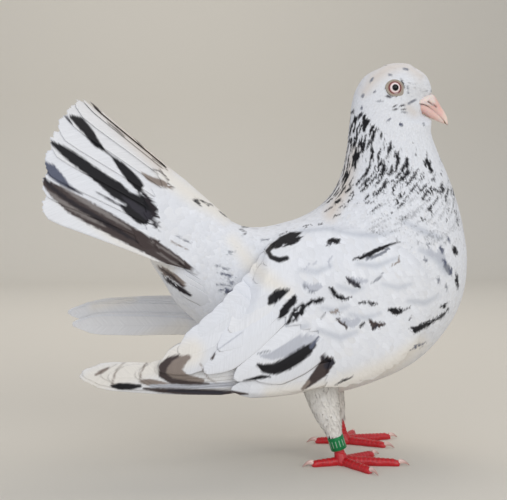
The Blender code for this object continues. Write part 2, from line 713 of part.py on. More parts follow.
def build():
    clear_scene()
    head = body_piece("head", 0, NECK_FROM, 0.5, start=Vector((CROWN[0], 0, CROWN[1])))
    lids = [hoop("lid", (EYE_SPOT[0], s * LID_OUT, EYE_SPOT[1]), (0, 1, 0), LID_RADIUS, LID_THICK,
                 LID_THICK) for s in (-1, 1)]
    combine(head, lids, "UNION")
    hollows = [ball("socket", (EYE_SPOT[0], s * EYE_OUT, EYE_SPOT[1]), (EYE_RADIUS + GAP,) * 3)
               for s in (-1, 1)]
    hollows.append(bill_half("bill_room", UPPER_BILL, UPPER_TIP, GAP))
    hollows.append(bill_half("bill_room", LOWER_BILL, LOWER_TIP, GAP))
    for hollow in hollows:
        combine(head, [hollow], "DIFFERENCE")
    finish(head, SKIN)

    upper = bill_half("bill_upper", UPPER_BILL, UPPER_TIP)
    nostrils = [ball("nostril", (NOSTRIL[0], s * NOSTRIL[1], NOSTRIL[2]), NOSTRIL_SIZE, 12, 6)
                for s in (-1, 1)]
    combine(upper, nostrils, "DIFFERENCE")
    finish(upper, HORN, 0.45)
    finish(bill_half("bill_lower", LOWER_BILL, LOWER_TIP), HORN, 0.45)
    for side, s in (("right", -1), ("left", 1)):
        finish(ball("eye_" + side, (EYE_SPOT[0], s * EYE_OUT, EYE_SPOT[1]), (EYE_RADIUS,) * 3), IRIS, 0.1)

    finish(body_piece("neck", NECK_FROM, TORSO_FROM, 0.5), SKIN)
    finish(body_piece("torso", TORSO_FROM, RUMP_FROM, 0.5), SKIN)
    finish(body_piece("rump", RUMP_FROM, LAST, 0.5), SKIN)

    for side, s in (("right", -1), ("left", 1)):
        leg = thigh("thigh_" + side, side)
        combine(leg, [body_piece("room", TORSO_FROM, LAST, 0.5, GAP)], "DIFFERENCE")
        finish(leg, SKIN)
        finish(tarsus("tarsus_" + side, side), RED, 0.5)
        for toe in TOES:
            piece = toe_piece("toe_" + toe + "_" + side, side, toe)
            combine(piece, [tarsus("room", side, GAP, False)], "DIFFERENCE")
            if toe in ("inner", "outer"):
                combine(piece, [toe_piece("room", side, "middle", GAP)], "DIFFERENCE")
            finish(piece, RED, 0.5)
            finish(claw_piece("claw_" + toe + "_" + side, side, toe), CLAW, 0.35)
        wing = wing_core("wing_" + side, s)
        combine(wing, wing_vanes(s), "UNION")
        combine(wing, [body_piece("room", HEAD_FROM, LAST, 0.5, GAP, Vector((CROWN[0], 0, CROWN[1])))],
                "DIFFERENCE")
        combine(wing, [thigh("room", side, GAP)], "DIFFERENCE")
        finish(wing, SKIN)
    finish(hoop("leg_band", place("right", BAND_CENTRE), BAND_LEAN, BAND_RADIUS, BAND_THICK, BAND_TALL),
           GREEN, 0.4)

    tail = tail_core("tail")
    combine(tail, tail_vanes(), "UNION")
    combine(tail, [body_piece("room", TORSO_FROM, LAST, 0.5, GAP)], "DIFFERENCE")
    finish(tail, SKIN)
    settle()


def settle():
    """Stands the bird with the middle of its bounding box over the origin and its soles at zero."""
    corners = [v.co for made in bpy.data.objects for v in made.data.vertices]
    low = Vector([min(c[i] for c in corners) for i in range(3)])
    high = Vector([max(c[i] for c in corners) for i in range(3)])
    shift = Vector(((low.x + high.x) / 2, (low.y + high.y) / 2, low.z))
    for made in bpy.data.objects:
        for vertex in made.data.vertices:
            vertex.co -= shift


build()
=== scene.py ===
import math

import bpy
import numpy as np
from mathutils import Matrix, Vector


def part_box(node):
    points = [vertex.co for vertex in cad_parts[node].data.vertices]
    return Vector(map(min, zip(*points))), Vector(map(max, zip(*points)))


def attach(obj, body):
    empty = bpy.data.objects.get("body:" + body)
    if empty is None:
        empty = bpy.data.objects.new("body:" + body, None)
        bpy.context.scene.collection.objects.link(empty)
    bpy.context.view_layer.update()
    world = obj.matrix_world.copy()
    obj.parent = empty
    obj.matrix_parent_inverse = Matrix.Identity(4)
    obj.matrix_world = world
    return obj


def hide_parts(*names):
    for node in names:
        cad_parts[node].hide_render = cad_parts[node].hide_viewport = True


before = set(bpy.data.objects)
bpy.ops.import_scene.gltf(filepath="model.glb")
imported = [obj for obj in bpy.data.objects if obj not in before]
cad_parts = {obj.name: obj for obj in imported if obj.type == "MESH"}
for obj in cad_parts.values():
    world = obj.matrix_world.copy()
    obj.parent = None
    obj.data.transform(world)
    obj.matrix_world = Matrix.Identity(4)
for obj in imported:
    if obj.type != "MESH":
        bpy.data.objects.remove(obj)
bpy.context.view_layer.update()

# Places below are millimetres on a side drawing of the bird: x to the bill, y to its left, z up.
# The drawing's x differs from the frame's by a few millimetres, which the right eye's place gives.
eyeSpot = (83.4, 221.0)
eyeLow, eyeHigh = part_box("eye_right")
drawingShift = (eyeLow.x + eyeHigh.x) / 2 - eyeSpot[0] / 1000
rng = np.random.default_rng(11)


# small tools


def linear(hexColour):  # sRGB hex to linear red, green and blue
    parts = [int(hexColour[i:i + 2], 16) / 255 for i in (1, 3, 5)]
    return tuple(c / 12.92 if c <= 0.04045 else ((c + 0.055) / 1.055) ** 2.4 for c in parts)


def linearRow(hexColour):
    return np.array(linear(hexColour))


def connect(material, node, links):
    for key, source in links.items():
        material.node_tree.links.new(source, node.inputs[key])


def addNode(material, kind, settings=None, links=None):  # a node, its settings and what feeds its sockets
    node = material.node_tree.nodes.new(kind)
    for key, value in (settings or {}).items():
        if isinstance(key, str) and hasattr(node, key):
            setattr(node, key, value)
        else:
            node.inputs[key].default_value = value
    connect(material, node, links or {})
    return node


def newMaterial(name, sockets):  # a Principled surface with its plain sockets set
    material = bpy.data.materials.new(name)
    material.use_nodes = True
    shader = material.node_tree.nodes["Principled BSDF"]
    for key, value in sockets.items():
        shader.inputs[key].default_value = value
    return material, shader


def grainyMaterial(name, sockets, kind, grain, relief, shades=None):
    # painted points under a fine grain: kind and settings of the grain, depth of its relief, its two shades
    material, shader = newMaterial(name, sockets)
    colour = addNode(material, "ShaderNodeAttribute", {"attribute_name": "tint"}).outputs["Color"]
    place = addNode(material, "ShaderNodeTexCoord")
    cells = addNode(material, "ShaderNodeTex" + kind, grain, {"Vector": place.outputs["Object"]})
    value = cells.outputs["Distance" if kind == "Voronoi" else "Fac"]
    if shades:
        tone = addNode(material, "ShaderNodeMapRange", {"To Min": shades[0], "To Max": shades[1]},
                       {"Value": value})
        colour = addNode(material, "ShaderNodeMix", {"data_type": "RGBA", "blend_type": "MULTIPLY", 0: 1.0},
                         {6: colour, 7: tone.outputs["Result"]}).outputs[2]
    bump = addNode(material, "ShaderNodeBump", relief, {"Height": value})
    connect(material, shader, {"Base Color": colour, "Normal": bump.outputs["Normal"]})
    return material


def ease(t):
    t = np.clip(t, 0, 1)
    return t * t * (3 - 2 * t)


def blend(a, b, share):
    return a * (1 - share) + b * share


def unit(vectors):
    return vectors / np.maximum(np.linalg.norm(vectors, axis=-1, keepdims=True), 1e-9)


def bothSides(half):  # steps from -1 to 1 out of those from the middle to 1
    half = np.array(half)
    return np.concatenate([-half[::-1], [0], half])


def cubicRows(rows, steps):  # a smooth curve through the rows, at steps counted in rows
    rows = np.array(rows, float)
    ends = np.vstack([2 * rows[:1] - rows[1:2], rows, 2 * rows[-1:] - rows[-2:-1]])
    steps = np.asarray(steps, float)
    i = np.clip(np.floor(steps).astype(int), 0, len(rows) - 2)
    f = (steps - i)[..., None]
    a, b, c, d = ends[i], ends[i + 1], ends[i + 2], ends[i + 3]
    return 0.5 * (2 * b + (c - a) * f + (2 * a - 5 * b + 4 * c - d) * f ** 2
                  + (3 * b - a - 3 * c + d) * f ** 3)


def toFrame(points):  # drawing millimetres to metres in the frame
    return points * 0.001 + np.array([drawingShift, 0, 0])


def joined(batches, key):
    return np.concatenate([batch[key] for batch in batches])


def fill(collection, key, values, kind=np.float32):
    collection.foreach_set(key, values.astype(kind).ravel())


def tintPoints(mesh, tint):
    layer = mesh.color_attributes.new("tint", "FLOAT_COLOR", "POINT")
    fill(layer.data, "color", np.hstack([tint, np.ones((len(tint), 1))]))


def addMesh(name, batches, material):  # one mesh from batches of points, face corners and colours
    points, counts, smooth = (joined(batches, key) for key in ("points", "counts", "smooth"))
    starts = np.cumsum([0] + [len(b["points"]) for b in batches[:-1]])
    corners = np.concatenate([b["corners"] + s for b, s in zip(batches, starts)])
    mesh = bpy.data.meshes.new(name)
    mesh.vertices.add(len(points))
    fill(mesh.vertices, "co", toFrame(points))
    mesh.loops.add(len(corners))
    fill(mesh.loops, "vertex_index", corners, np.int32)
    mesh.polygons.add(len(counts))
    fill(mesh.polygons, "loop_start", np.cumsum(counts) - counts, np.int32)
    mesh.update(calc_edges=True)
    fill(mesh.polygons, "use_smooth", smooth, bool)
    if "tint" in batches[0]:
        tintPoints(mesh, joined(batches, "tint"))
    if "vane" in batches[0]:
        fill(mesh.attributes.new("vane", "FLOAT_VECTOR", "POINT").data, "vector", joined(batches, "vane"))
    if "patch" in batches[0]:
        fill(mesh.uv_layers.new(name="OFBake").uv, "vector", joined(batches, "patch")[corners])
    if "normal" in batches[0]:
        own = np.empty(len(corners) * 3, np.float32)
        mesh.corner_normals.foreach_get("vector", own)
        normal = unit(blend(own.reshape(-1, 3), joined(batches, "normal")[corners], batches[0]["soft"]))
        normal[~np.repeat(smooth, counts)] = 0  # nought leaves a flat face its own normal
        mesh.normals_split_custom_set(normal.tolist())
    mesh.materials.append(material)
    made = bpy.data.objects.new(name, mesh)
    bpy.context.scene.collection.objects.link(made)
    return made


def carry(piece, slotName, *nodes):  # the piece rides on the bird and stands for these nodes
    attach(piece, "root")
    if nodes:
        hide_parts(*nodes)


def loftBatch(rings, startPole=None, endPole=None, tints=None, closed=False):
    # skin over rings: each end runs to a pole or has a flat cap, or the last ring joins the first
    rings = np.asarray(rings, float)
    count, sides = rings.shape[:2]
    points = rings.reshape(-1, 3)
    grid = np.arange(count * sides).reshape(count, sides)
    after = np.roll(grid, -1, axis=1)
    quads = np.stack([grid, after, np.roll(after, -1, axis=0), np.roll(grid, -1, axis=0)], -1)
    quads = (quads if closed else quads[:-1]).reshape(-1, 4)
    corners, counts = [quads.ravel()], [np.full(len(quads), 4)]
    for pole, row, turned in () if closed else ((startPole, 0, True), (endPole, count - 1, False)):
        if pole is None:
            corners.append(grid[row][::-1] if turned else grid[row])
            counts.append(np.array([sides]))
        else:
            tip = np.full(sides, len(points))
            points = np.vstack([points, np.array(pole, float)])
            a, b = (after[row], grid[row]) if turned else (grid[row], after[row])
            corners.append(np.stack([a, b, tip], -1).ravel())
            counts.append(np.full(sides, 3))
    corners, counts = np.concatenate(corners), np.concatenate(counts)
    a, b, c = (points[quads[:, i]] for i in (0, 1, 2))
    if np.sum(np.cross(b - a, c - a) * (a - points.mean(0))) < 0:  # turned inside out
        split = np.split(corners, np.cumsum(counts)[:-1])
        corners = np.concatenate([part[::-1] for part in split])
    batch = {"points": points, "corners": corners, "counts": counts, "smooth": np.ones(len(counts), bool)}
    if tints:
        batch["tint"] = np.vstack(tints)
    return batch


# camera, light and floor

studio = {
    "cameraPlace": (-69.6, -495.1, 133.0), "cameraTurn": -8.0, "lens": 59.15, "shiftY": -0.0296,
    "floor": "#D9D4CA", "curve": (12, 0.0785),  # steps of the curve at the back, and their length in metres
    "sky": "#E6E9EF", "skyStrength": 0.70,
    "lights": {  # place, size, power, colour and the spot it faces
        "keyLight": ((0.45, -1.06, 0.64), 0.8, 4.5, "#FFFDF8", (0.0, 0.0, 0.12)),
        "fillLight": ((-0.45, -1.05, 0.25), 0.9, 3.3, "#EEF2FC", (0.0, 0.0, 0.12)),
        "rimLight": ((0.1, 0.35, 1.0), 0.6, 1.8, "#FFF3E2", (0.0, 0.0, 0.12)),
        "paperLight": ((0.0, 0.9, 1.4), 1.2, 7.0, "#FFFAF2", (0.0, 2.2, 0.4)),
    },
}


def makeStudio():
    lens = bpy.data.cameras.new("photoCamera")
    lens.lens, lens.sensor_width, lens.shift_y = studio["lens"], 36.0, studio["shiftY"]
    lens.clip_start = 0.01
    camera = bpy.data.objects.new("photoCamera", lens)
    camera.location = toFrame(np.array(studio["cameraPlace"]))
    camera.rotation_euler = (math.pi / 2, 0, math.radians(studio["cameraTurn"]))
    bpy.context.scene.collection.objects.link(camera)
    bpy.context.scene.camera = camera
    for name, (place, size, power, colour, target) in studio["lights"].items():
        lamp = bpy.data.lights.new(name, "AREA")
        lamp.size, lamp.energy, lamp.color = size, power, linear(colour)
        made = bpy.data.objects.new(name, lamp)
        made.location = place
        made.rotation_euler = (Vector(target) - Vector(place)).to_track_quat("-Z", "Y").to_euler()
        bpy.context.scene.collection.objects.link(made)
    world = bpy.data.worlds.new("softRoom")
    bpy.context.scene.world = world
    world.use_nodes = True
    sky = world.node_tree.nodes["Background"]
    sky.inputs["Color"].default_value = (*linear(studio["sky"]), 1)
    sky.inputs["Strength"].default_value = studio["skyStrength"]
    bpy.context.scene.view_settings.view_transform = "Standard"


def makeFloor():  # a pale sheet that runs back and curves up behind
    bpy.ops.object.select_all(action="DESELECT")
    bpy.ops.mesh.primitive_plane_add(size=6.0, location=(0, -1.2, 0))
    floor = bpy.context.object
    floor.name = "studioFloor"
    bpy.ops.object.mode_set(mode="EDIT")
    bpy.ops.mesh.select_all(action="DESELECT")
    bpy.ops.object.mode_set(mode="OBJECT")
    for edge in floor.data.edges:
        edge.select = all(floor.data.vertices[i].co.y > 1 for i in edge.vertices)
    bpy.ops.object.mode_set(mode="EDIT")
    bpy.ops.mesh.select_mode(type="EDGE")
    steps, length = studio["curve"]
    for i in range(steps):  # a quarter round of 0.6 m radius
        a = math.radians(90 / steps * (i + 0.5))
        bpy.ops.mesh.extrude_region_move(
            TRANSFORM_OT_translate={"value": (0, length * math.cos(a), length * math.sin(a))})
    bpy.ops.mesh.extrude_region_move(TRANSFORM_OT_translate={"value": (0, 0, 3.0)})
    bpy.ops.object.mode_set(mode="OBJECT")
    bpy.ops.object.transform_apply(location=True, rotation=True, scale=True)
    floor.data.shade_smooth()
    paper, shader = newMaterial("matBackgroundPaper", {"Roughness": 0.85})  # rolled studio paper, no gloss
    place = addNode(paper, "ShaderNodeTexCoord")
    grain = addNode(paper, "ShaderNodeTexNoise", {"Scale": 900.0, "Detail": 2.0},
                    {"Vector": place.outputs["Object"]})  # fibres of about 1 mm
    tone = addNode(paper, "ShaderNodeMapRange", {"To Min": 0.97, "To Max": 1.03},
                   {"Value": grain.outputs["Fac"]})
    colour = addNode(paper, "ShaderNodeMix", {"data_type": "RGBA", "blend_type": "MULTIPLY", 0: 1.0,
                                              6: (*linear(studio["floor"]), 1)}, {7: tone.outputs["Result"]})
    connect(paper, shader, {"Base Color": colour.outputs[2]})
    floor.data.materials.append(paper)


makeStudio()
makeFloor()
print("studio ready")


# surfaces that carry the coat

# back x, back z, breast x, breast z and half width of each cross-section, from the crown to the tail's root,
# then on under the tail
bodySections = [
    (80.0, 236.2, 98.5, 236.6, 7.2), (69.5, 230.6, 107.0, 231.0, 12.0), (63.6, 222.4, 110.8, 222.6, 14.2),
    (60.8, 213.2, 112.4, 213.6, 14.9), (59.8, 204.2, 111.4, 205.0, 15.3), (58.8, 194.6, 110.2, 196.2, 16.0),
    (57.4, 183.0, 114.0, 184.8, 18.4), (54.4, 170.4, 119.6, 171.6, 22.4), (48.6, 158.8, 125.0, 156.4, 28.0),
    (39.6, 149.8, 129.4, 138.0, 34.2), (28.2, 143.6, 131.8, 115.6, 38.6), (16.4, 140.0, 128.0, 92.6, 41.0),
    (6.6, 138.0, 116.4, 72.4, 42.0), (-1.4, 137.6, 98.0, 55.0, 41.4), (-7.0, 138.4, 72.0, 43.4, 39.6),
    (-11.0, 140.0, 45.0, 37.4, 37.2), (-14.2, 141.6, 18.0, 41.0, 34.0), (-16.8, 143.4, -5.0, 54.4, 31.0),
    (-19.0, 145.4, -22.0, 70.0, 28.6), (-21.0, 147.4, -37.0, 84.0, 26.6), (-30.0, 154.4, -46.0, 92.6, 26.0),
    (-43.0, 164.4, -53.5, 105.0, 23.0), (-56.0, 175.0, -62.5, 120.0, 18.0), (-66.0, 181.6, -70.5, 140.0, 13.0),
    (-73.5, 183.6, -77.0, 158.0, 8.0), (-79.5, 185.4, -82.0, 172.0, 3.4), (-84.0, 186.4, -85.0, 181.0, 0.9),
]
crown = (89.4, 238.2)
face = {"from": 84.0, "reach": 20.0, "narrow": 0.52, "low": 199.0, "high": 214.5, "fade": 12.0,
        "pocketFrom": 100.0, "pocket": 7.0, "pocketLow": 203.0, "pocketHigh": 213.5}
bodySteps = np.arange(-1.0, len(bodySections) - 0.99, 0.02)


def bodyTable():  # the sections drawn out finely, with a dome that closes the crown
    rows = cubicRows(bodySections, np.clip(bodySteps, 0, None))
    dome = bodySteps < 0
    turn = -bodySteps[dome] * math.pi / 2
    first = np.array(bodySections[0])
    middle, half = (first[:2] + first[2:4]) / 2, (first[:2] - first[2:4]) / 2
    centre = middle + (np.array(crown) - middle) * np.sin(turn)[:, None]
    out = half * np.cos(turn)[:, None]
    rows[dome] = np.column_stack([centre + out, centre - out, first[4] * np.cos(turn)])
    return rows


bodyRows = bodyTable()


def bodyAt(t, turn):  # turn runs from the back round by the bird's right side
    bx, bz, vx, vz, wide = (np.interp(t, bodySteps, bodyRows[:, i]) for i in range(5))
    c = np.cos(turn)
    x, y, z = (bx + vx) / 2 + (bx - vx) / 2 * c, -wide * np.sin(turn), (bz + vz) / 2 + (bz - vz) / 2 * c
    # the face narrows and draws back where the bill leaves it
    front = (ease((x - face["from"]) / face["reach"]) * ease((z - face["low"]) / 7)
             * (1 - ease((z - face["high"]) / face["fade"])))
    pocket = (ease((x - face["pocketFrom"]) / 12) * ease((z - face["pocketLow"]) / 5)
              * (1 - ease((z - face["pocketHigh"]) / 8)))
    return np.stack([x - face["pocket"] * pocket, y * (1 - face["narrow"] * front), z], -1)


# distance of the folded wing from the bird's middle, at these heights and at each x
wingLevels = (140.0, 115.0, 92.0, 68.0, 45.0)
wingSide = [
    (104.0, 24.0, 32.0, 32.0, 22.0, 8.0), (85.0, 31.0, 41.8, 41.4, 37.5, 25.0),
    (65.0, 32.0, 43.8, 44.4, 42.4, 32.0), (40.0, 27.0, 42.8, 45.2, 44.4, 36.0),
    (15.0, 16.0, 39.0, 44.6, 46.0, 40.0), (-5.0, 15.0, 37.0, 44.0, 46.4, 42.0),
    (-20.0, 18.0, 36.0, 43.5, 46.4, 43.5), (-40.0, 22.0, 35.0, 42.5, 45.5, 43.5),
    (-70.0, 24.0, 34.0, 39.5, 42.0, 40.5), (-100.0, 24.0, 31.0, 36.0, 38.5, 37.5),
]
# x, upper and lower edge of the part of the wing that lies on the body
wingEdges = np.array([
    (99.0, 107.0, 92.0), (90.0, 120.0, 77.0), (76.0, 130.0, 63.5), (56.0, 134.5, 54.6), (36.0, 135.0, 50.0),
    (16.0, 132.0, 48.0), (2.0, 124.0, 47.2), (-9.0, 101.0, 47.2), (-20.0, 86.0, 47.6),
    (-34.0, 75.0, 48.6)])[::-1]
leftWing = {"rise": 25.0, "back": 10.0, "from": 25.0, "riseReach": 62.0, "backReach": 125.0,
            "low": 70.0, "high": 132.0}
wingX, wingZ = np.arange(-112.0, 112.1, 1.0), np.arange(30.0, 146.1, 1.0)


def wingEdge(x):  # upper and lower edge at these places
    return [np.interp(x, wingEdges[:, 0], wingEdges[:, i]) for i in (1, 2)]


def wingTable():
    stations = np.array([row[0] for row in wingSide])
    x = np.clip(wingX, stations[-1], stations[0])
    t = np.interp(-x, -stations, np.arange(len(stations)))
    levels = np.array(wingLevels)
    z = np.clip(wingZ, levels[-1] - 10, levels[0])
    u = np.where(z < levels[-1], 4 + (levels[-1] - z) / 23, np.interp(-z, -levels, np.arange(5)))
    byLevel = cubicRows([row[1:] for row in wingSide], t)
    return cubicRows(byLevel.T, u)  # rows follow z, columns follow x


wingOut = wingTable()


def wingAt(side):  # side is -1 for the right wing, 1 for the left one
    def surface(x, z):
        i = np.clip(x - wingX[0], 0, len(wingX) - 1.001)
        j = np.clip(z - wingZ[0], 0, len(wingZ) - 1.001)
        i0, j0 = i.astype(int), j.astype(int)
        f, g = i - i0, j - j0
        out = blend(blend(wingOut[j0, i0], wingOut[j0, i0 + 1], f),
                    blend(wingOut[j0 + 1, i0], wingOut[j0 + 1, i0 + 1], f), g)
        if side < 0:
            return np.stack([x, -out, z], -1)
        back = leftWing["from"] - x
        lift = (leftWing["rise"] * ease(back / leftWing["riseReach"])
                * (1 - ease((z - leftWing["low"]) / (leftWing["high"] - leftWing["low"]))))
        return np.stack([x - leftWing["back"] * ease(back / leftWing["backReach"]), out, z + lift], -1)
    return surface


tail = {
    "root": (-20.0, 144.2), "slope": math.radians(39.5), "halfWidth": (28.5, 44.0), "depth": (54.0, 63.5),
    "reach": (1.18, 1.50), "long": 101.0, "pairs": 8, "rise": 0.62, "low": 1.3,
    "rootBack": 12.0, "tipSwell": 4.5, "tipDrop": 20.0, "unwrap": (-20.0, 110.0, -10.0, 10.0),
}
tailAxis = np.array([-math.cos(tail["slope"]), 0, math.sin(tail["slope"])])
tailUp = np.array([math.sin(tail["slope"]), 0, math.cos(tail["slope"])])


def tailAt(along, pitches):
    f = along / tail["long"]
    turn = pitches / tail["pairs"] * (tail["reach"][0] + (tail["reach"][1] - tail["reach"][0]) * f)
    wide = tail["halfWidth"][0] + (tail["halfWidth"][1] - tail["halfWidth"][0]) * f
    deep = tail["depth"][0] + (tail["depth"][1] - tail["depth"][0]) * f
    ridge = np.array([tail["root"][0], 0, tail["root"][1]]) + along[..., None] * tailAxis
    return (ridge + (wide * np.sin(turn))[..., None] * np.array([0, 1.0, 0])
            - (deep * (1 - np.cos(turn)))[..., None] * tailUp)


legs = {"right": (48.4, -24.0, -1), "left": (62.0, 24.0, 1)}  # x and y of the foot, and the bird's outer side
thighStations = [(-14.5, 4.0, 60.0, 12.0, 10.5), (-13.2, 3.0, 50.0, 10.9, 9.6), (-11.6, 2.2, 41.0, 9.5, 8.8),
                 (-9.4, 1.6, 32.0, 8.1, 7.7), (-7.2, 1.0, 25.0, 6.7, 6.3), (-5.6, 0.7, 20.6, 5.1, 4.9)]


def thighAt(leg):
    footX, footY, out = legs[leg]

    def surface(t, turn):
        x, y, z, wideX, wideY = np.moveaxis(cubicRows(thighStations, np.clip(t, 0, 6.2)), -1, 0)
        return np.stack([footX + x + wideX * np.cos(turn), footY - out * y + wideY * np.sin(turn), z], -1)
    return surface


def outward(surface, a, b, turned, step=0.02):  # the surface's place, its two directions and the way out
    here = surface(a, b)
    alongA = (surface(a + step, b) - surface(a - step, b)) / (2 * step)
    alongB = (surface(a, b + step) - surface(a, b - step)) / (2 * step)
    return here, alongA, alongB, unit(np.cross(alongA, alongB)) * turned


# markings, and strokes of painted shade, drawn on the side view as it shows in the picture

tones = {name: linearRow(code) for name, code in {
    "white": "#E5E7EC", "cream": "#EAE6DF", "mist": "#C6CAD2", "silver": "#BFC2CB", "grey": "#868992",
    "slate": "#5B6072", "coal": "#312F37", "black": "#131217", "ash": "#817B79", "taupe": "#8D8179",
    "umber": "#453B3A", "sable": "#262025", "sand": "#D9CDB8", "fawn": "#DBD2CA"}.items()}

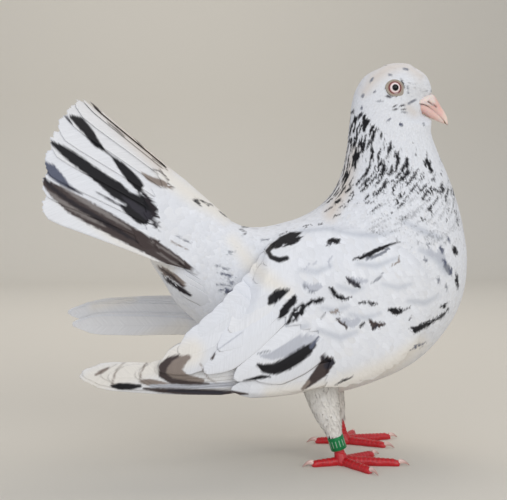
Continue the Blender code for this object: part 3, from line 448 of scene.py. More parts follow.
# an oval is its tone, centre, length, width and slope, a stroke its tone and the places and widths it takes
marks = {
    "head": [
        ("grey", 405, 69, 6, 2.6, 12), ("grey", 389, 75, 4, 2.2, 20), ("grey", 371, 80, 6, 2.5, -55),
        # the coal oval at 402, 84 is painted shadow along the eye ring's outer edge
        ("grey", 362, 96, 4, 2.5, -60), ("coal", 402, 84, 10, 1.8, 68), ("grey", 407, 88, 5, 1.5, 80),
        ("grey", 407.5, 93, 3, 2, 40), ("coal", 387.5, 97, 5.5, 2, 20), ("grey", 379, 101.5, 6, 1.4, 0),
        ("coal", 394, 106.5, 4.5, 1.6, -20), ("coal", 401.5, 106, 6, 2.2, -12),
        ("coal", 394.5, 109.6, 5, 1.6, -12), ("coal", 403, 109.6, 5, 1.6, -5),
        ("grey", 403.5, 112.5, 5, 1.4, 10), ("grey", 412, 101.5, 8, 2.4, -25),
        ("grey", 409, 103.5, 4, 2, -25), ("grey", 374, 92, 3.5, 2, -50), ("grey", 388.5, 120, 5, 2, -40),
        ("slate", 400.5, 125, 4.5, 3.5, 60), ("grey", 423, 124.5, 3, 2, 60),
        ("slate", 361, 108, 4, 2.2, -60), ("coal", 359.5, 116, 8, 3, -50),
        ("black", 354.5, 121, 5, 3.5, -40), ("coal", 364, 116, 3.5, 2, -50), ("black", 366, 123, 9, 3, -38),
        ("coal", 352, 112, 4, 2, -60),
    ],
    "neck": [
        ("black", 359, 126, 11, 5, -65), ("black", 366, 124, 10, 4, -45), ("black", 370, 132, 9, 6, -60),
        ("black", 378, 130, 6, 3, -60), ("coal", 388, 141, 9, 3, 70), ("coal", 415.5, 148, 8, 4, 65),
        ("black", 372, 178, 22, 7, -62), ("black", 380, 172, 14, 4, -70), ("black", 428, 166, 20, 6, 65),
        ("black", 435.5, 191, 9, 4, 60), ("coal", 421, 176, 10, 3, 70), ("black", 359, 152, 20, 4, -70),
        ("coal", 366, 158, 14, 4, -70), ("coal", 352, 146, 10, 4, -60), ("coal", 385, 160, 14, 3.5, 88),
        ("black", 397, 158, 14, 3.5, 84), ("coal", 407, 162, 12, 3.5, 80), ("coal", 391, 176, 12, 3, 90),
        ("black", 402, 182, 12, 3.5, 84), ("coal", 413, 186, 10, 3, 78), ("coal", 360, 186, 14, 3.5, -60),
        ("coal", 352, 196, 12, 3, -50), ("coal", 376, 196, 9, 3, 88), ("coal", 388, 200, 8, 2.5, 85),
        ("black", 398, 203, 9, 3, 82), ("grey", 391, 212, 7, 2.2, 80), ("grey", 410, 205, 8, 2.5, 80),
        ("coal", 424, 200, 8, 3, 72), ("grey", 431, 212, 8, 2.5, 72), ("coal", 442, 205, 8, 3, 66),
        ("grey", 447, 222, 8, 2, 75), ("grey", 420, 218, 8, 2.4, 76), ("coal", 346, 206, 11, 2.6, -40),
        ("coal", 336, 216, 13, 2.2, -22), ("coal", 345, 221, 9, 2, -20), ("black", 321, 224, 9, 1.8, -18),
        ("black", 305, 226, 9, 1.8, -16), ("coal", 294, 228, 7, 1.6, -14),
    ],
    "breast": [
        ("silver", 440, 258, 15, 9, 50), ("silver", 430, 253, 9, 6, 40), ("grey", 447, 268, 14, 6, 62),
        ("grey", 425, 260, 6, 3, 70), ("slate", 441, 250, 7, 3, 68), ("black", 454.5, 250.5, 10, 4.5, 70),
        ("black", 456.5, 281, 17, 3, 86), ("slate", 444, 262, 7, 3, 66), ("slate", 450, 272, 8, 3, 72),
        ("grey", 438, 280, 7, 2.4, 78), ("grey", 446, 288, 7, 2, 80), ("coal", 457, 221, 5, 2, 80),
        ("slate", 448, 240, 6, 2, 72), ("grey", 428, 246, 6, 2, 78), ("black", 443.5, 306, 6, 3.4, -48),
        ("black", 443, 315, 13, 2, -44), ("slate", 415, 346, 8, 1.6, -35), ("slate", 421, 345, 5, 1.2, -40),
    ],
    "back": [
        ("black", [(195, 199.5, 3), (198.5, 205, 2)]), ("black", [(198, 200, 1.6), (206, 203, 1.4),
          (212, 206, 0.8)]), ("black", [(220, 212, 1), (225, 215.6, 1.4)]), ("black", [(242.5, 227, 1.6),
          (248, 226.5, 1)]), ("black", [(242, 229.5, 1.8), (245, 233, 1.4)]),
        ("black", [(243.5, 235.5, 1.5), (245.5, 234, 1)]), ("grey", [(262, 240.5, 2), (266, 240, 3)]),
        ("grey", [(227.5, 253.8, 1.4), (232, 251, 0.8), (236, 250, 0.8)]), ("sand", [(256, 279, 0.8),
          (264, 278, 1), (272.5, 276, 0.6)]), ("grey", [(215, 265, 1.2), (222, 268, 2.6), (227, 270, 1.2)]),
        ("slate", [(221, 273, 1), (229, 276, 2.4), (234, 280, 1.2)]), ("grey", [(215, 283.5, 1),
          (225, 285.5, 2.2), (233, 284, 1)]), ("slate", [(222, 279.5, 0.8), (232, 281.8, 1.8)]),
        ("slate", [(218, 290, 1.2), (228, 291.5, 4.5), (238, 291, 6), (244.5, 288.5, 2)]),
        ("coal", [(226, 293, 1), (236, 293.5, 2.4), (243, 290.5, 1)]),
    ],
    "wing": [
        ("black", [(300, 233, 2.5), (291, 236, 8), (281, 240.5, 8), (272, 246, 5.5), (267, 251, 4.5),
          (270.5, 257, 4.6), (278.5, 260, 5.6), (286.5, 258, 4.4)]), ("black", [(275, 247, 4),
          (285, 243.5, 7), (296, 239.5, 6.4), (301, 237, 2)]), ("white", [(276.5, 250.5, 1.6),
          (281, 247, 1.4), (284.5, 244.5, 0.8)]), ("white", [(284, 250.5, 1), (288, 246.5, 0.6)]),
        ("coal", [(279, 234.5, 1.2), (286, 232.5, 1)]), ("black", [(327, 242.5, 2.2), (332, 240.2, 5),
          (337, 241, 5.4)]), ("coal", [(326, 245, 1), (330, 244.5, 2)]), ("grey", [(366, 259.5, 2.6),
          (376, 256, 3.4), (388, 248.5, 3)]), ("black", [(352.5, 258.5, 1.2), (361, 257.8, 3.6),
          (368, 255, 5), (376, 250, 4.4), (386, 245.8, 3), (399.5, 241, 1)]), ("silver", [(352, 278, 3),
          (358, 281, 6), (366, 281, 3)]), ("coal", [(345.5, 277.5, 2.2), (350, 281, 5), (357.5, 285.5, 4.8),
          (360, 287, 2)]), ("grey", [(371, 282.5, 0.8), (378, 278, 2.2), (383, 272.5, 0.8)]),
        ("black", [(329.3, 286.5, 2.2), (332.5, 291.5, 4.2), (338, 296.5, 5), (344, 298.6, 3.6),
          (350, 298, 1)]), ("silver", [(304, 284, 5), (311, 288, 8), (319, 286, 5)]),
        ("grey", [(303.5, 284.5, 2), (308, 288, 2.4)]), ("grey", [(309, 291, 2), (315, 290.5, 2.6)]),
        ("black", [(269, 303.5, 4), (272, 299, 9.5), (278, 295, 11), (285, 291.5, 5.5), (289, 290.5, 1)]),
        ("black", [(278.5, 317.5, 2.4), (283.5, 312, 8.6), (289.5, 305, 10), (294, 298.5, 6)]),
        ("black", [(287, 323.5, 2), (291.5, 318.5, 7), (297.5, 311.5, 9), (303, 305.5, 5)]),
        ("white", [(282, 320, 0.8), (288.5, 313, 1.7), (296.5, 303.5, 0.9)]), ("white", [(292, 320, 0.8),
          (295, 314, 1.2), (299, 308, 0.7)]), ("black", [(300, 317.5, 1.2), (304, 311, 2)]),
        ("coal", [(296, 320.5, 1), (299, 315.5, 1.2)]), ("black", [(305, 306, 2.4), (308, 303.5, 4.6),
          (312, 300.5, 3)]), ("black", [(315.5, 301, 4), (319, 300.2, 5), (323, 299.6, 3)]),
        ("coal", [(321, 317, 1.4), (325, 312.5, 1)]), ("taupe", [(329, 312.5, 1.6), (336, 310.5, 3),
          (341, 313, 1)]), ("silver", [(344, 320, 6), (352, 324, 8), (358, 320, 5)]),
        ("umber", [(336.5, 319, 2.6), (340.5, 322.5, 4.6), (346.5, 326.8, 3.6)]),
        ("black", [(358.5, 327.5, 1.8), (363.5, 323.2, 3)]), ("umber", [(369.5, 320.5, 2.4),
          (373, 324.5, 6.4), (378.5, 325.3, 5.4), (384.5, 323, 1.6)]), ("coal", [(373, 328.5, 3),
          (377, 326, 3)]), ("black", [(359, 303, 2.8), (363, 302, 2.6), (368, 302.2, 1.4),
          (372.5, 304.2, 2.8), (377, 303.6, 1)]), ("black", [(389.5, 310, 4.6), (394.5, 311.2, 7),
          (400, 310.8, 5)]), ("coal", [(402, 311, 1.4), (410, 307, 0.7)]), ("black", [(410.2, 328.6, 3.4),
          (415, 329.6, 6.8), (424, 325.6, 6), (432.5, 321, 3.4), (441, 315.4, 2.4), (448.5, 308.6, 1.4)]),
        ("black", [(439.3, 308.4, 1.2), (445, 303.8, 2.6)]), ("black", [(409.3, 320.4, 1.2),
          (411.4, 316.6, 1)]), ("slate", [(410, 350, 0.6), (417, 347, 1.2), (424, 343, 0.6)]),
        ("slate", [(421, 346.5, 1.2), (425, 342, 0.8)]), ("silver", [(261, 356, 3), (272, 356, 8),
          (287, 350, 13), (301, 341, 13), (310, 339, 8)]), ("black", [(257.5, 365, 3.4), (264, 368.6, 9),
          (274, 369, 11.5), (286, 364, 13), (297, 357.2, 13), (306, 350.6, 11), (313, 345, 5.6)]),
        ("slate", [(311, 347, 4), (315, 341, 3), (318, 336.5, 1.5)]), ("grey", [(257, 353.8, 1),
          (263, 352, 1.6), (269, 351, 1)]), ("black", [(243, 380.6, 1.2), (252, 378.8, 2.6), (261, 377, 4),
          (270, 376.6, 1.4)]), ("umber", [(322, 357.5, 5), (327, 362.5, 13), (321, 371, 13), (313, 379, 9),
          (305, 387, 4)]), ("coal", [(322, 358, 3), (333, 362.5, 5), (326, 366, 6)]),
        ("taupe", [(308, 382, 4), (302, 389, 3)]), ("black", [(334, 385, 0.8), (343, 380.7, 2.2),
          (353, 376, 0.9)]), ("taupe", [(390, 266, 0.6), (398, 262, 1.8), (398.5, 255, 0.8)]),
        ("silver", [(330, 268, 1), (328, 262, 2), (331, 256, 1)]), ("silver", [(303, 270, 1),
          (309, 264, 1.6), (316, 262, 1)]),
    ],
    "tail": [
        ("black", [(71, 117, 4.6), (79, 121.5, 9.5), (88, 132, 9.5), (96, 143.5, 7.4), (104.6, 151, 1.6),
          (110.5, 155.6, 1.4), (120, 165.5, 7), (130, 176.5, 10.5), (138, 185.5, 10), (139.3, 193, 2)]),
        ("coal", [(63, 114, 1.2), (68, 120, 2.2), (72, 124.5, 1)]), ("black", [(51.6, 142.8, 4),
          (62, 150, 8.6), (75, 159.5, 11.5), (90, 170.5, 11.5), (105, 181.5, 13), (120, 193, 18),
          (133, 204, 24), (143, 212, 25)]), ("sable", [(141, 191, 2), (148, 201, 6), (153.5, 209, 6),
          (153.5, 219, 9), (156, 228.5, 3)]), ("coal", [(121, 196, 1), (134, 206, 7), (147, 216, 8)]),
        ("white", [(113, 172, 1), (122, 181.5, 4.6), (131, 190, 4.4), (138, 195, 1)]),
        ("white", [(95, 189.5, 1), (106, 195.5, 2.6), (118, 202, 3), (126, 205.5, 0.8)]),
        ("coal", [(95, 192, 1), (108, 199, 2), (121, 206.5, 1.4)]), ("white", [(150, 222, 2),
          (156, 219, 1)]), ("slate", [(45.2, 165, 7), (50.5, 170, 12), (58, 177.5, 10), (67, 186, 5),
          (80, 193.4, 0.8)]), ("coal", [(62, 181.5, 1), (70, 188.6, 1.6), (81, 194, 0.7)]),
        ("umber", [(45, 183, 7), (56, 192, 14), (73, 204, 20), (90, 213.5, 21), (104, 221, 20),
          (118, 229, 19), (132, 237, 18), (148, 245.5, 17), (164, 255, 15), (178, 263, 12),
          (191, 270.5, 5)]), ("ash", [(60, 186, 1.4), (78, 197.4, 4.4), (98, 209.6, 5), (116, 220.6, 3),
          (130, 229, 1)]), ("ash", [(46, 190, 1.4), (58, 200, 4.6), (73, 209.6, 5), (90, 218.6, 3.6),
          (106, 226.6, 1)]), ("ash", [(150, 242, 1), (166, 251, 2.4), (182, 261.6, 2)]),
        ("ash", [(156, 252, 0.8), (172, 262, 2), (184, 268, 0.8)]), ("sable", [(42.6, 176.6, 2.4),
          (49, 185.4, 4.6), (62, 196.2, 4), (76, 205.6, 4.6), (92, 215, 5), (108, 224.6, 5),
          (124, 234.4, 3.4), (140, 243.4, 1.6)]), ("umber", [(89.4, 102, 1), (95, 106, 2),
          (100.6, 112.4, 1)]), ("umber", [(107.5, 122.7, 0.8), (116, 129.4, 1.4), (124, 136.6, 1.2)]),
        ("umber", [(128, 131, 0.8), (136, 140, 1.1), (144, 149, 0.8)]), ("umber", [(152, 158.6, 0.7),
          (159, 163.6, 0.9), (165, 167, 0.6)]), ("taupe", [(141, 172.5, 1.4), (149, 178.5, 5),
          (159, 182.8, 7), (170, 187, 3)]), ("umber", [(150.5, 169.2, 0.7), (158.5, 170.8, 1.4),
          (165, 177, 1.6), (172, 187.6, 1.2)]), ("grey", [(176, 236, 1), (184, 239, 1.6), (190, 242, 0.7)]),
        ("taupe", [(171, 241.5, 1), (180, 247, 1.4), (186, 250, 0.8)]),
    ],
    "underTail": [
        ("taupe", [(154, 266, 3), (163, 270.5, 7), (174, 277, 6), (184, 284, 3)]),
        ("umber", [(160, 268.5, 2), (172, 277, 3.4), (184, 287, 2)]), ("sable", [(159.5, 275, 2),
          (167, 280.5, 4.4), (178, 287.5, 5), (190, 295, 3)]),
    ],
    "primaries": [
        ("taupe", [(95, 375, 2), (101, 371.6, 4), (108, 368, 2)]), ("taupe", [(111.6, 385, 1.2),
          (113.2, 377, 1.4), (117, 369, 1.2), (124, 362, 0.8)]), ("black", [(111.6, 386, 3),
          (119, 386.4, 7), (130, 386.6, 6.4), (139.5, 386, 3)]), ("taupe", [(139.4, 379, 1.4),
          (140.6, 372, 1.4), (145, 364, 1.2), (151, 358, 0.8)]), ("taupe", [(141, 381.5, 4),
          (150, 382.4, 7), (160, 384, 6), (173, 386, 3)]), ("silver", [(150, 386, 3), (175, 386.4, 5),
          (205, 385.6, 6), (230, 384.6, 5)]), ("umber", [(143, 388.6, 2), (160, 390.4, 5),
          (185, 391.8, 6.4), (210, 392.4, 6.4), (232, 393, 5), (247, 394, 1.6)]), ("coal", [(168, 390.4, 2),
          (196, 392, 4), (225, 392.8, 3.4)]), ("taupe", [(188, 357, 5), (177, 363, 15), (172, 371, 15),
          (184, 378, 9), (202, 380.6, 4)]), ("umber", [(178, 355.4, 2.4), (169, 359.6, 6),
          (162.4, 366.4, 8.6), (161.6, 374.6, 7), (171, 381, 6), (190, 383, 4), (208, 383.6, 1.6)]),
        ("taupe", [(200, 363.6, 0.7), (203, 371, 1.1), (208, 378.4, 1.2), (216, 383, 0.8)]),
        ("umber", [(214.4, 353.6, 1.8), (211.4, 358.6, 2.8)]), ("silver", [(214, 352, 0.8), (228, 342, 1.2),
          (242, 332, 0.8)]),
    ],
    # painted shade: soft grey strokes under overlapping feathers, along the lower edge of the neck's feathers
    # and over the body and wing
    "soft": [
        ("mist", [(300, 231, 2), (330, 229, 3), (352, 234, 4), (374, 236, 4), (392, 232, 2)]),
        ("mist", [(338, 286, 3), (352, 291, 5), (362, 288, 2)]), ("mist", [(357, 264, 3), (376, 266, 5),
          (396, 258, 2)]), ("mist", [(322, 308, 3), (336, 311, 5), (348, 306, 2)]), ("mist", [(350, 315, 4),
          (366, 318, 5), (380, 313, 2)]), ("mist", [(408, 301, 3), (424, 303, 5), (438, 296, 2)]),
        ("mist", [(276, 322, 4), (290, 330, 7), (306, 326, 4)]), ("mist", [(300, 270, 3), (316, 272, 5),
          (330, 266, 3)]), ("mist", [(290, 376, 3), (316, 370, 3)]), ("mist", [(382, 284, 2), (398, 288, 4),
          (410, 284, 2)]), ("mist", [(318, 330, 4), (340, 338, 6), (356, 332, 3)]), ("mist", [(420, 250, 4),
          (436, 258, 8), (446, 272, 6)]), ("mist", [(232, 300, 3), (222, 316, 4)]), ("mist", [(404, 222, 3),
          (424, 232, 6), (440, 238, 4)]),
    ],
    "warm": [
        ("fawn", [(354, 150, 6), (344, 190, 12), (330, 214, 12)]), ("fawn", [(364, 92, 5), (374, 78, 10),
          (388, 68, 10), (405, 65, 6), (420, 76, 5)]), ("fawn", [(408, 108, 3), (414, 113, 4)]),
        ("fawn", [(92, 98, 8), (130, 134, 16), (165, 168, 14)]), ("cream", [(165, 176, 14), (190, 194, 16),
          (225, 216, 12)]), ("cream", [(232, 240, 8), (250, 264, 14), (268, 280, 16), (288, 292, 8)]),
        ("cream", [(190, 352, 26), (140, 368, 26), (95, 380, 26)]), ("cream", [(270, 394, 14),
          (330, 388, 16), (390, 366, 18), (420, 344, 14)]), ("cream", [(60, 198, 6), (120, 244, 6),
          (170, 270, 6)]), ("cream", [(86, 320, 10), (130, 312, 8)]),
    ],
}
sideCamera = {"turn": math.radians(8), "away": 500.0, "scale": 833.0, "u": 253.0, "v": 235.0, "high": 133.0}


def sideSpot(points):  # where a point, or its twin on the other side, lies in the side view
    c, s = math.cos(sideCamera["turn"]), math.sin(sideCamera["turn"])
    x, y, z = points[..., 0], -np.abs(points[..., 1]), points[..., 2]
    deep = sideCamera["away"] + x * s + y * c
    return (sideCamera["u"] + sideCamera["scale"] * (x * c - y * s) / deep,
            sideCamera["v"] - sideCamera["scale"] * (z - sideCamera["high"]) / deep)


def strokeShare(u, v, path, edge):  # how far a place lies within a brush stroke that goes from width to width
    share = np.zeros(u.shape)
    for (u0, v0, w0), (u1, v1, w1) in zip(path[:-1], path[1:]):
        du, dv = u1 - u0, v1 - v0
        along = np.clip(((u - u0) * du + (v - v0) * dv) / (du * du + dv * dv), 0, 1)
        away = np.hypot(u - u0 - along * du, v - v0 - along * dv)
        share = np.maximum(share, ease(0.5 + ((w0 + (w1 - w0) * along) / 2 - away) / edge))
    return share


def markShare(mark, u, v, edge):  # the places that a mark may reach, and how far each lies in it
    if len(mark) == 2:  # a stroke
        spots = np.array(mark[1])
        reach = spots[:, 2].max() / 2 + edge
        near = ((u > spots[:, 0].min() - reach) & (u < spots[:, 0].max() + reach)
                & (v > spots[:, 1].min() - reach) & (v < spots[:, 1].max() + reach))
        return near, strokeShare(u[near], v[near], mark[1], edge)
    _, markU, markV, long, wide, slope = mark
    near = (np.abs(u - markU) < long) & (np.abs(v - markV) < long)
    c, s = math.cos(math.radians(slope)), math.sin(math.radians(slope))
    du, dv = u[near] - markU, v[near] - markV
    a, b = (du * c + dv * s) / (long / 2), (dv * c - du * s) / (wide / 2)
    away = (np.abs(a) ** 2.4 + np.abs(b) ** 2.4) ** (1 / 2.4)  # an oval with slightly square ends
    return near, ease(0.5 + (1 - away) * wide / 2 / edge)


flankFrom, flankReach = 6.0, 5.0  # the marks under the tail leave its middle free


def paint(colour, points, groups, edge=1.0):  # lays the marks of these groups over the colour
    u, v = sideSpot(points)
    for group in groups:
        for mark in marks[group]:
            near, share = markShare(mark, u, v, edge)
            if group == "underTail":
                share = share * ease((np.abs(points[near][..., 1]) - flankFrom) / flankReach)
            colour[near] = blend(colour[near], tones[mark[0]], share[:, None])
    return colour


def covered(u, v, group, edge):  # how far a place lies in any mark of the group
    most = np.zeros(u.shape)
    for mark in marks[group]:
        near, share = markShare(mark, u, v, edge)
        most[near] = np.maximum(most[near], share)
    return most


# feathers

def vaneTemplate(rows, columns, thick):  # faces of one feather, with an under side of its own if it is thick
    shares, sides = np.meshgrid(rows, columns, indexing="ij")
    r, c = len(rows), len(columns)
    g = np.arange(r * c).reshape(r, c)
    top = np.stack([g[:-1, :-1], g[1:, :-1], g[1:, 1:], g[:-1, 1:]], -1).reshape(-1, 4)
    if thick:
        low = g + r * c
        under = np.stack([low[:-1, :-1], low[:-1, 1:], low[1:, 1:], low[1:, :-1]], -1).reshape(-1, 4)
        rims = [np.stack(s, -1) for s in (
            (g[1:, 0], g[:-1, 0], low[:-1, 0], low[1:, 0]),
            (g[:-1, -1], g[1:, -1], low[1:, -1], low[:-1, -1]),
            (g[-1, 1:], g[-1, :-1], low[-1, :-1], low[-1, 1:]),
            (g[0, :-1], g[0, 1:], low[0, 1:], low[0, :-1]))]
        faces = [top, under] + rims
        corners = np.concatenate([f.ravel() for f in faces])
        counts = np.full(len(corners) // 4, 4)
        smooth = np.arange(len(counts)) < len(top) + len(under)
    else:
        under = np.stack([g[:-1, 0], g[:-1, -1], g[1:, -1], g[1:, 0]], -1)
        corners = np.concatenate([top.ravel(), under.ravel(), g[0], g[-1][::-1]])
        counts = np.concatenate([np.full(len(top) + len(under), 4), [c, c]])
        smooth = np.arange(len(counts)) < len(top)
    return {"v": shares.ravel(), "u": sides.ravel(), "corners": corners, "counts": counts, "smooth": smooth,
            "thick": thick, "rows": r, "columns": c}


def vaneBatch(template, points, tint, vane, patch):  # many feathers of one template
    number, size = points.shape[:2]
    corners = (template["corners"][None] + np.arange(number)[:, None] * size).ravel()
    return {"points": points.reshape(-1, 3), "tint": tint.reshape(-1, 3), "vane": vane.reshape(-1, 3),
            "patch": patch.reshape(-1, 2), "corners": corners, "counts": np.tile(template["counts"], number),
            "smooth": np.tile(template["smooth"], number)}


def tipCuts(template, number, amount):  # uneven barb ends along the tip
    v = template["v"]
    tip = v >= v.max() - 1e-6
    cut = np.zeros((number, len(v)))
    cut[:, tip] = rng.normal(0, amount, (number, int(tip.sum())))
    return cut


def patchOf(template, a, b, unwrap):  # each feather's own small patch of the unwrap, where its root lies
    lowA, highA, lowB, highB = unwrap
    roots = np.stack([(b - lowB) / (highB - lowB), (a - lowA) / (highA - lowA)], -1) * 0.98 + 0.01
    sheets = 2 if template["thick"] else 1
    u, v = np.tile(template["u"], sheets), np.tile(template["v"], sheets)
    spot = np.stack([u * 0.0013, (v - 0.5) * 0.0026], -1)
    return np.clip(roots[:, None] + spot[None], 0.001, 0.999)


# how small feathers grow, lie and take the marks, in millimetres and shares. Each piece below changes some
smallFeather = {
    "at": (0, 0.3, 0.65, 0.86, 1.0), "share": (0.55, 1.0, 0.9, 0.6, 0.16),  # width along the feather
    "round": 0.12, "ragged": 0.01, "stray": 0.09,  # its tip, its barbs' unevenness and its turn in radians
    "lift": 0.2, "sink": 0.34, "deep": 2.0, "curve": 3.0, "arch": 0.2, "uneven": 0.1,  # how high it lies
    "soft": 0.3, "cream": 0.0, "mottle": 0.028, "pale": 0.09,  # soft shading, and tones without the marks; pale is painted shade that darkens each feather towards its root
    "marks": [], "edge": 1.0, "keep": 0.8, "drift": 0.3, "fringe": 0.3,  # how it breaks up the marks
    "step": 0.02, "bound": 0.8, "unwrap": (-1.2, 24.0, -0.2, 6.6),  # steps and reach over the surface
}


def layCoat(surface, turned, a, b, ahead, long, wide, template, changes):
    # small feathers that follow a surface, from roots at its coordinates a and b
    plan = {**smallFeather, **changes}
    number, v, u = len(a), template["v"][None], template["u"][None]
    own = rng.random((number, 1))
    root, alongA, alongB, out = outward(surface, a, b, turned, plan["step"])
    ahead = unit(ahead - out * np.sum(ahead * out, -1, keepdims=True))
    aside = np.cross(out, ahead)
    stray = rng.normal(0, plan["stray"], (number, 1))
    c, s = np.cos(stray), np.sin(stray)
    ahead, aside = ahead * c + aside * s, aside * c - ahead * s
    share = np.interp(v, plan["at"], plan["share"])
    share = share * (1 + rng.normal(0, plan["ragged"], (number, v.size)) * (v > 0.5))
    alongBy = long[:, None] * (v * (1 + tipCuts(template, number, plan["ragged"]))
                               - plan["round"] * np.abs(u) ** 2.2 * v ** 3)
    acrossBy = wide[:, None] / 2 * u * share
    offset = ahead[:, None] * alongBy[..., None] + aside[:, None] * acrossBy[..., None]
    placeA, placeB = a[:, None] + 0 * alongBy, b[:, None] + 0 * alongBy
    rest, most = offset, plan["bound"]
    alongA, alongB = alongA[:, None], alongB[:, None]
    for _ in range(3):  # each point goes to its place on the surface in steps, as the surface turns
        e, f, g = np.sum(alongA * alongA, -1), np.sum(alongA * alongB, -1), np.sum(alongB * alongB, -1)
        det = np.maximum(e * g - f * f, 1e-3)
        byA, byB = np.sum(rest * alongA, -1), np.sum(rest * alongB, -1)
        placeA = placeA + np.clip((g * byA - f * byB) / det, -most, most)
        placeB = placeB + np.clip((e * byB - f * byA) / det, -most, most)
        here, alongA, alongB, normal = outward(surface, placeA, placeB, turned, plan["step"])
        rest = root[:, None] + offset - here
    # the tip and the sides sink into the feathers below, so that no edge stands open
    high = (plan["lift"] * ease(v / 0.8) - plan["deep"] * (1 - v) ** plan["curve"]
            - plan["sink"] * ease((v - 0.68) / 0.32) - plan["arch"] * np.abs(u) ** 2.4
            + (own - 0.5) * plan["uneven"])
    if "cover" in plan:
        high = high + plan["cover"](placeA, placeB)
    points = here + normal * high[..., None]
    middle = points[:, np.argmin(np.abs(template["v"] - 0.72) + np.abs(template["u"]))][:, None]
    colour = np.ones(points.shape) * tones["white"]
    cream = np.clip(plan["cream"] + rng.normal(0, 0.08, (number, 1, 1)), 0, 1)
    colour = blend(colour, tones["cream"], cream) * (1 + rng.normal(0, plan["mottle"], (number, 1, 1)))
    # painted shade: each feather grows darker towards its root, where it lies under the tips of the feathers
    # above
    colour = colour * (1 - plan["pale"] * ease((0.8 - v) / 0.5) * (1 + 0 * u))[..., None]
    # warm tones, then the soft group's strokes of painted shade
    colour = paint(paint(colour, points, ["warm"], 16.0), points, ["soft"], 7.0)
    # a mark follows the feathers: it shifts a little with each one, and its edge frays along the barbs
    column = np.tile(np.arange(template["columns"]), template["rows"])
    fray = rng.normal(0, plan["fringe"], (number, template["columns"]))[:, column]
    seen = (middle + (points - middle) * plan["keep"] + ahead[:, None] * fray[..., None]
            + rng.normal(0, plan["drift"], (number, 1, 3)) * np.array([1, 0, 1]))
    colour = paint(colour, seen, plan["marks"], plan["edge"])
    if "streak" in plan:
        colour = blend(colour, tones["black"], plan["streak"](seen, placeA, placeB)[..., None])
    vane = np.stack([acrossBy, alongBy, np.broadcast_to(own, acrossBy.shape)], -1)
    batch = vaneBatch(template, points, np.clip(colour, 0.004, 1), vane,
                      patchOf(template, a, b, plan["unwrap"]))
    if plan["soft"]:  # soft plumage is shaded partly by its own slope, partly by the slope of the bird
        batch["normal"], batch["soft"] = normal.reshape(-1, 3), plan["soft"]
    return batch


def layFlight(surface, turned, roots, tips, wide, template, plan):
    # large feathers from root to tip over a surface, with a shaft and a thickness of their own
    number, v, u = len(roots), template["v"][None], template["u"][None]
    own = rng.random((number, 1))
    along = tips - roots
    across = unit(np.stack([-along[:, 1], along[:, 0]], -1))
    share = np.interp(v, plan["at"], plan["share"])
    reach = v * (1 + tipCuts(template, number, plan["ragged"])) - plan["round"] * np.abs(u) ** 2.4 * v ** 5
    sideways = wide[:, None] / 2 * u * share + plan["bow"] * np.sin(math.pi * v)
    place = roots[:, None] + along[:, None] * reach[..., None] + across[:, None] * sideways[..., None]
    placeA, placeB = place[..., 0], place[..., 1]
    here, _, _, normal = outward(surface, placeA, placeB, turned, plan["step"])
    high = plan["high"](v, u, placeA, placeB, np.arange(number)[:, None], sideways)
    shaft = np.exp(-(u / 0.05) ** 2) * (1 - v) ** 0.5
    thick = plan["thin"] + plan["thick"] * np.exp(-(u / 0.3) ** 2) * (1 - 0.7 * v) + plan["shaft"] * shaft
    if not template["thick"]:
        thick = thick + 0.4 * (1 - u ** 2)
    top, low = here + normal * (high + thick)[..., None], here + normal * high[..., None]
    cream = plan["creamOf"](np.arange(number))[:, None, None] + rng.normal(0, 0.06, (number, 1, 1))
    colour = blend(np.ones(top.shape) * tones["white"], tones["cream"], cream)
    colour = colour * (1 + rng.normal(0, 0.02, (number, 1, 1)))
    fray = rng.normal(0, plan["fray"], (number, len(template["v"]), 3)) * np.array([1, 0, 1])
    colour = paint(colour, top, ["warm"], 16.0)
    colour = paint(colour, top + fray, plan["marks"], 1.8) * (1 - 0.06 * shaft[..., None])
    vane = np.stack([sideways * plan["scaleAcross"], reach * np.linalg.norm(along, axis=-1)[:, None],
                     np.broadcast_to(own, sideways.shape)], -1)
    if template["thick"]:
        sheets = ((top, low), (colour, colour), (vane, vane))
        top, colour, vane = (np.concatenate(pair, axis=1) for pair in sheets)
    return vaneBatch(template, top, np.clip(colour, 0.004, 1), vane,
                     patchOf(template, roots[:, 0], roots[:, 1], plan["unwrap"]))


def coatSpots(surface, firstT, lastT, lines, gap, apart):  # spots in offset rows, on lines from head to tail
    spots = []
    for j in range(lines):
        turn = 2 * math.pi * j / lines
        t = np.linspace(firstT, lastT, 700)
        line = surface(t, np.full(t.shape, turn))
        steps = np.linalg.norm(np.diff(line, axis=0), axis=1) / gap((t[1:] + t[:-1]) / 2)
        way = np.concatenate([[0], np.cumsum(steps)])
        rows = np.arange(0.5 * (j % 2) + 0.1, way[-1], 1.0)
        rows = rows + rng.uniform(-0.4, 0.4, len(rows))
        at = np.interp(rows, way, t)
        spots.append(np.column_stack([at, turn + rng.uniform(-0.5, 0.5, len(at)) * 2 * math.pi / lines]))
    a, b = np.vstack(spots).T
    width = np.linalg.norm(outward(surface, a, b, 1)[2], axis=1) * 2 * math.pi / lines
    keep = rng.random(len(a)) < width / apart(a)
    return a[keep], b[keep]


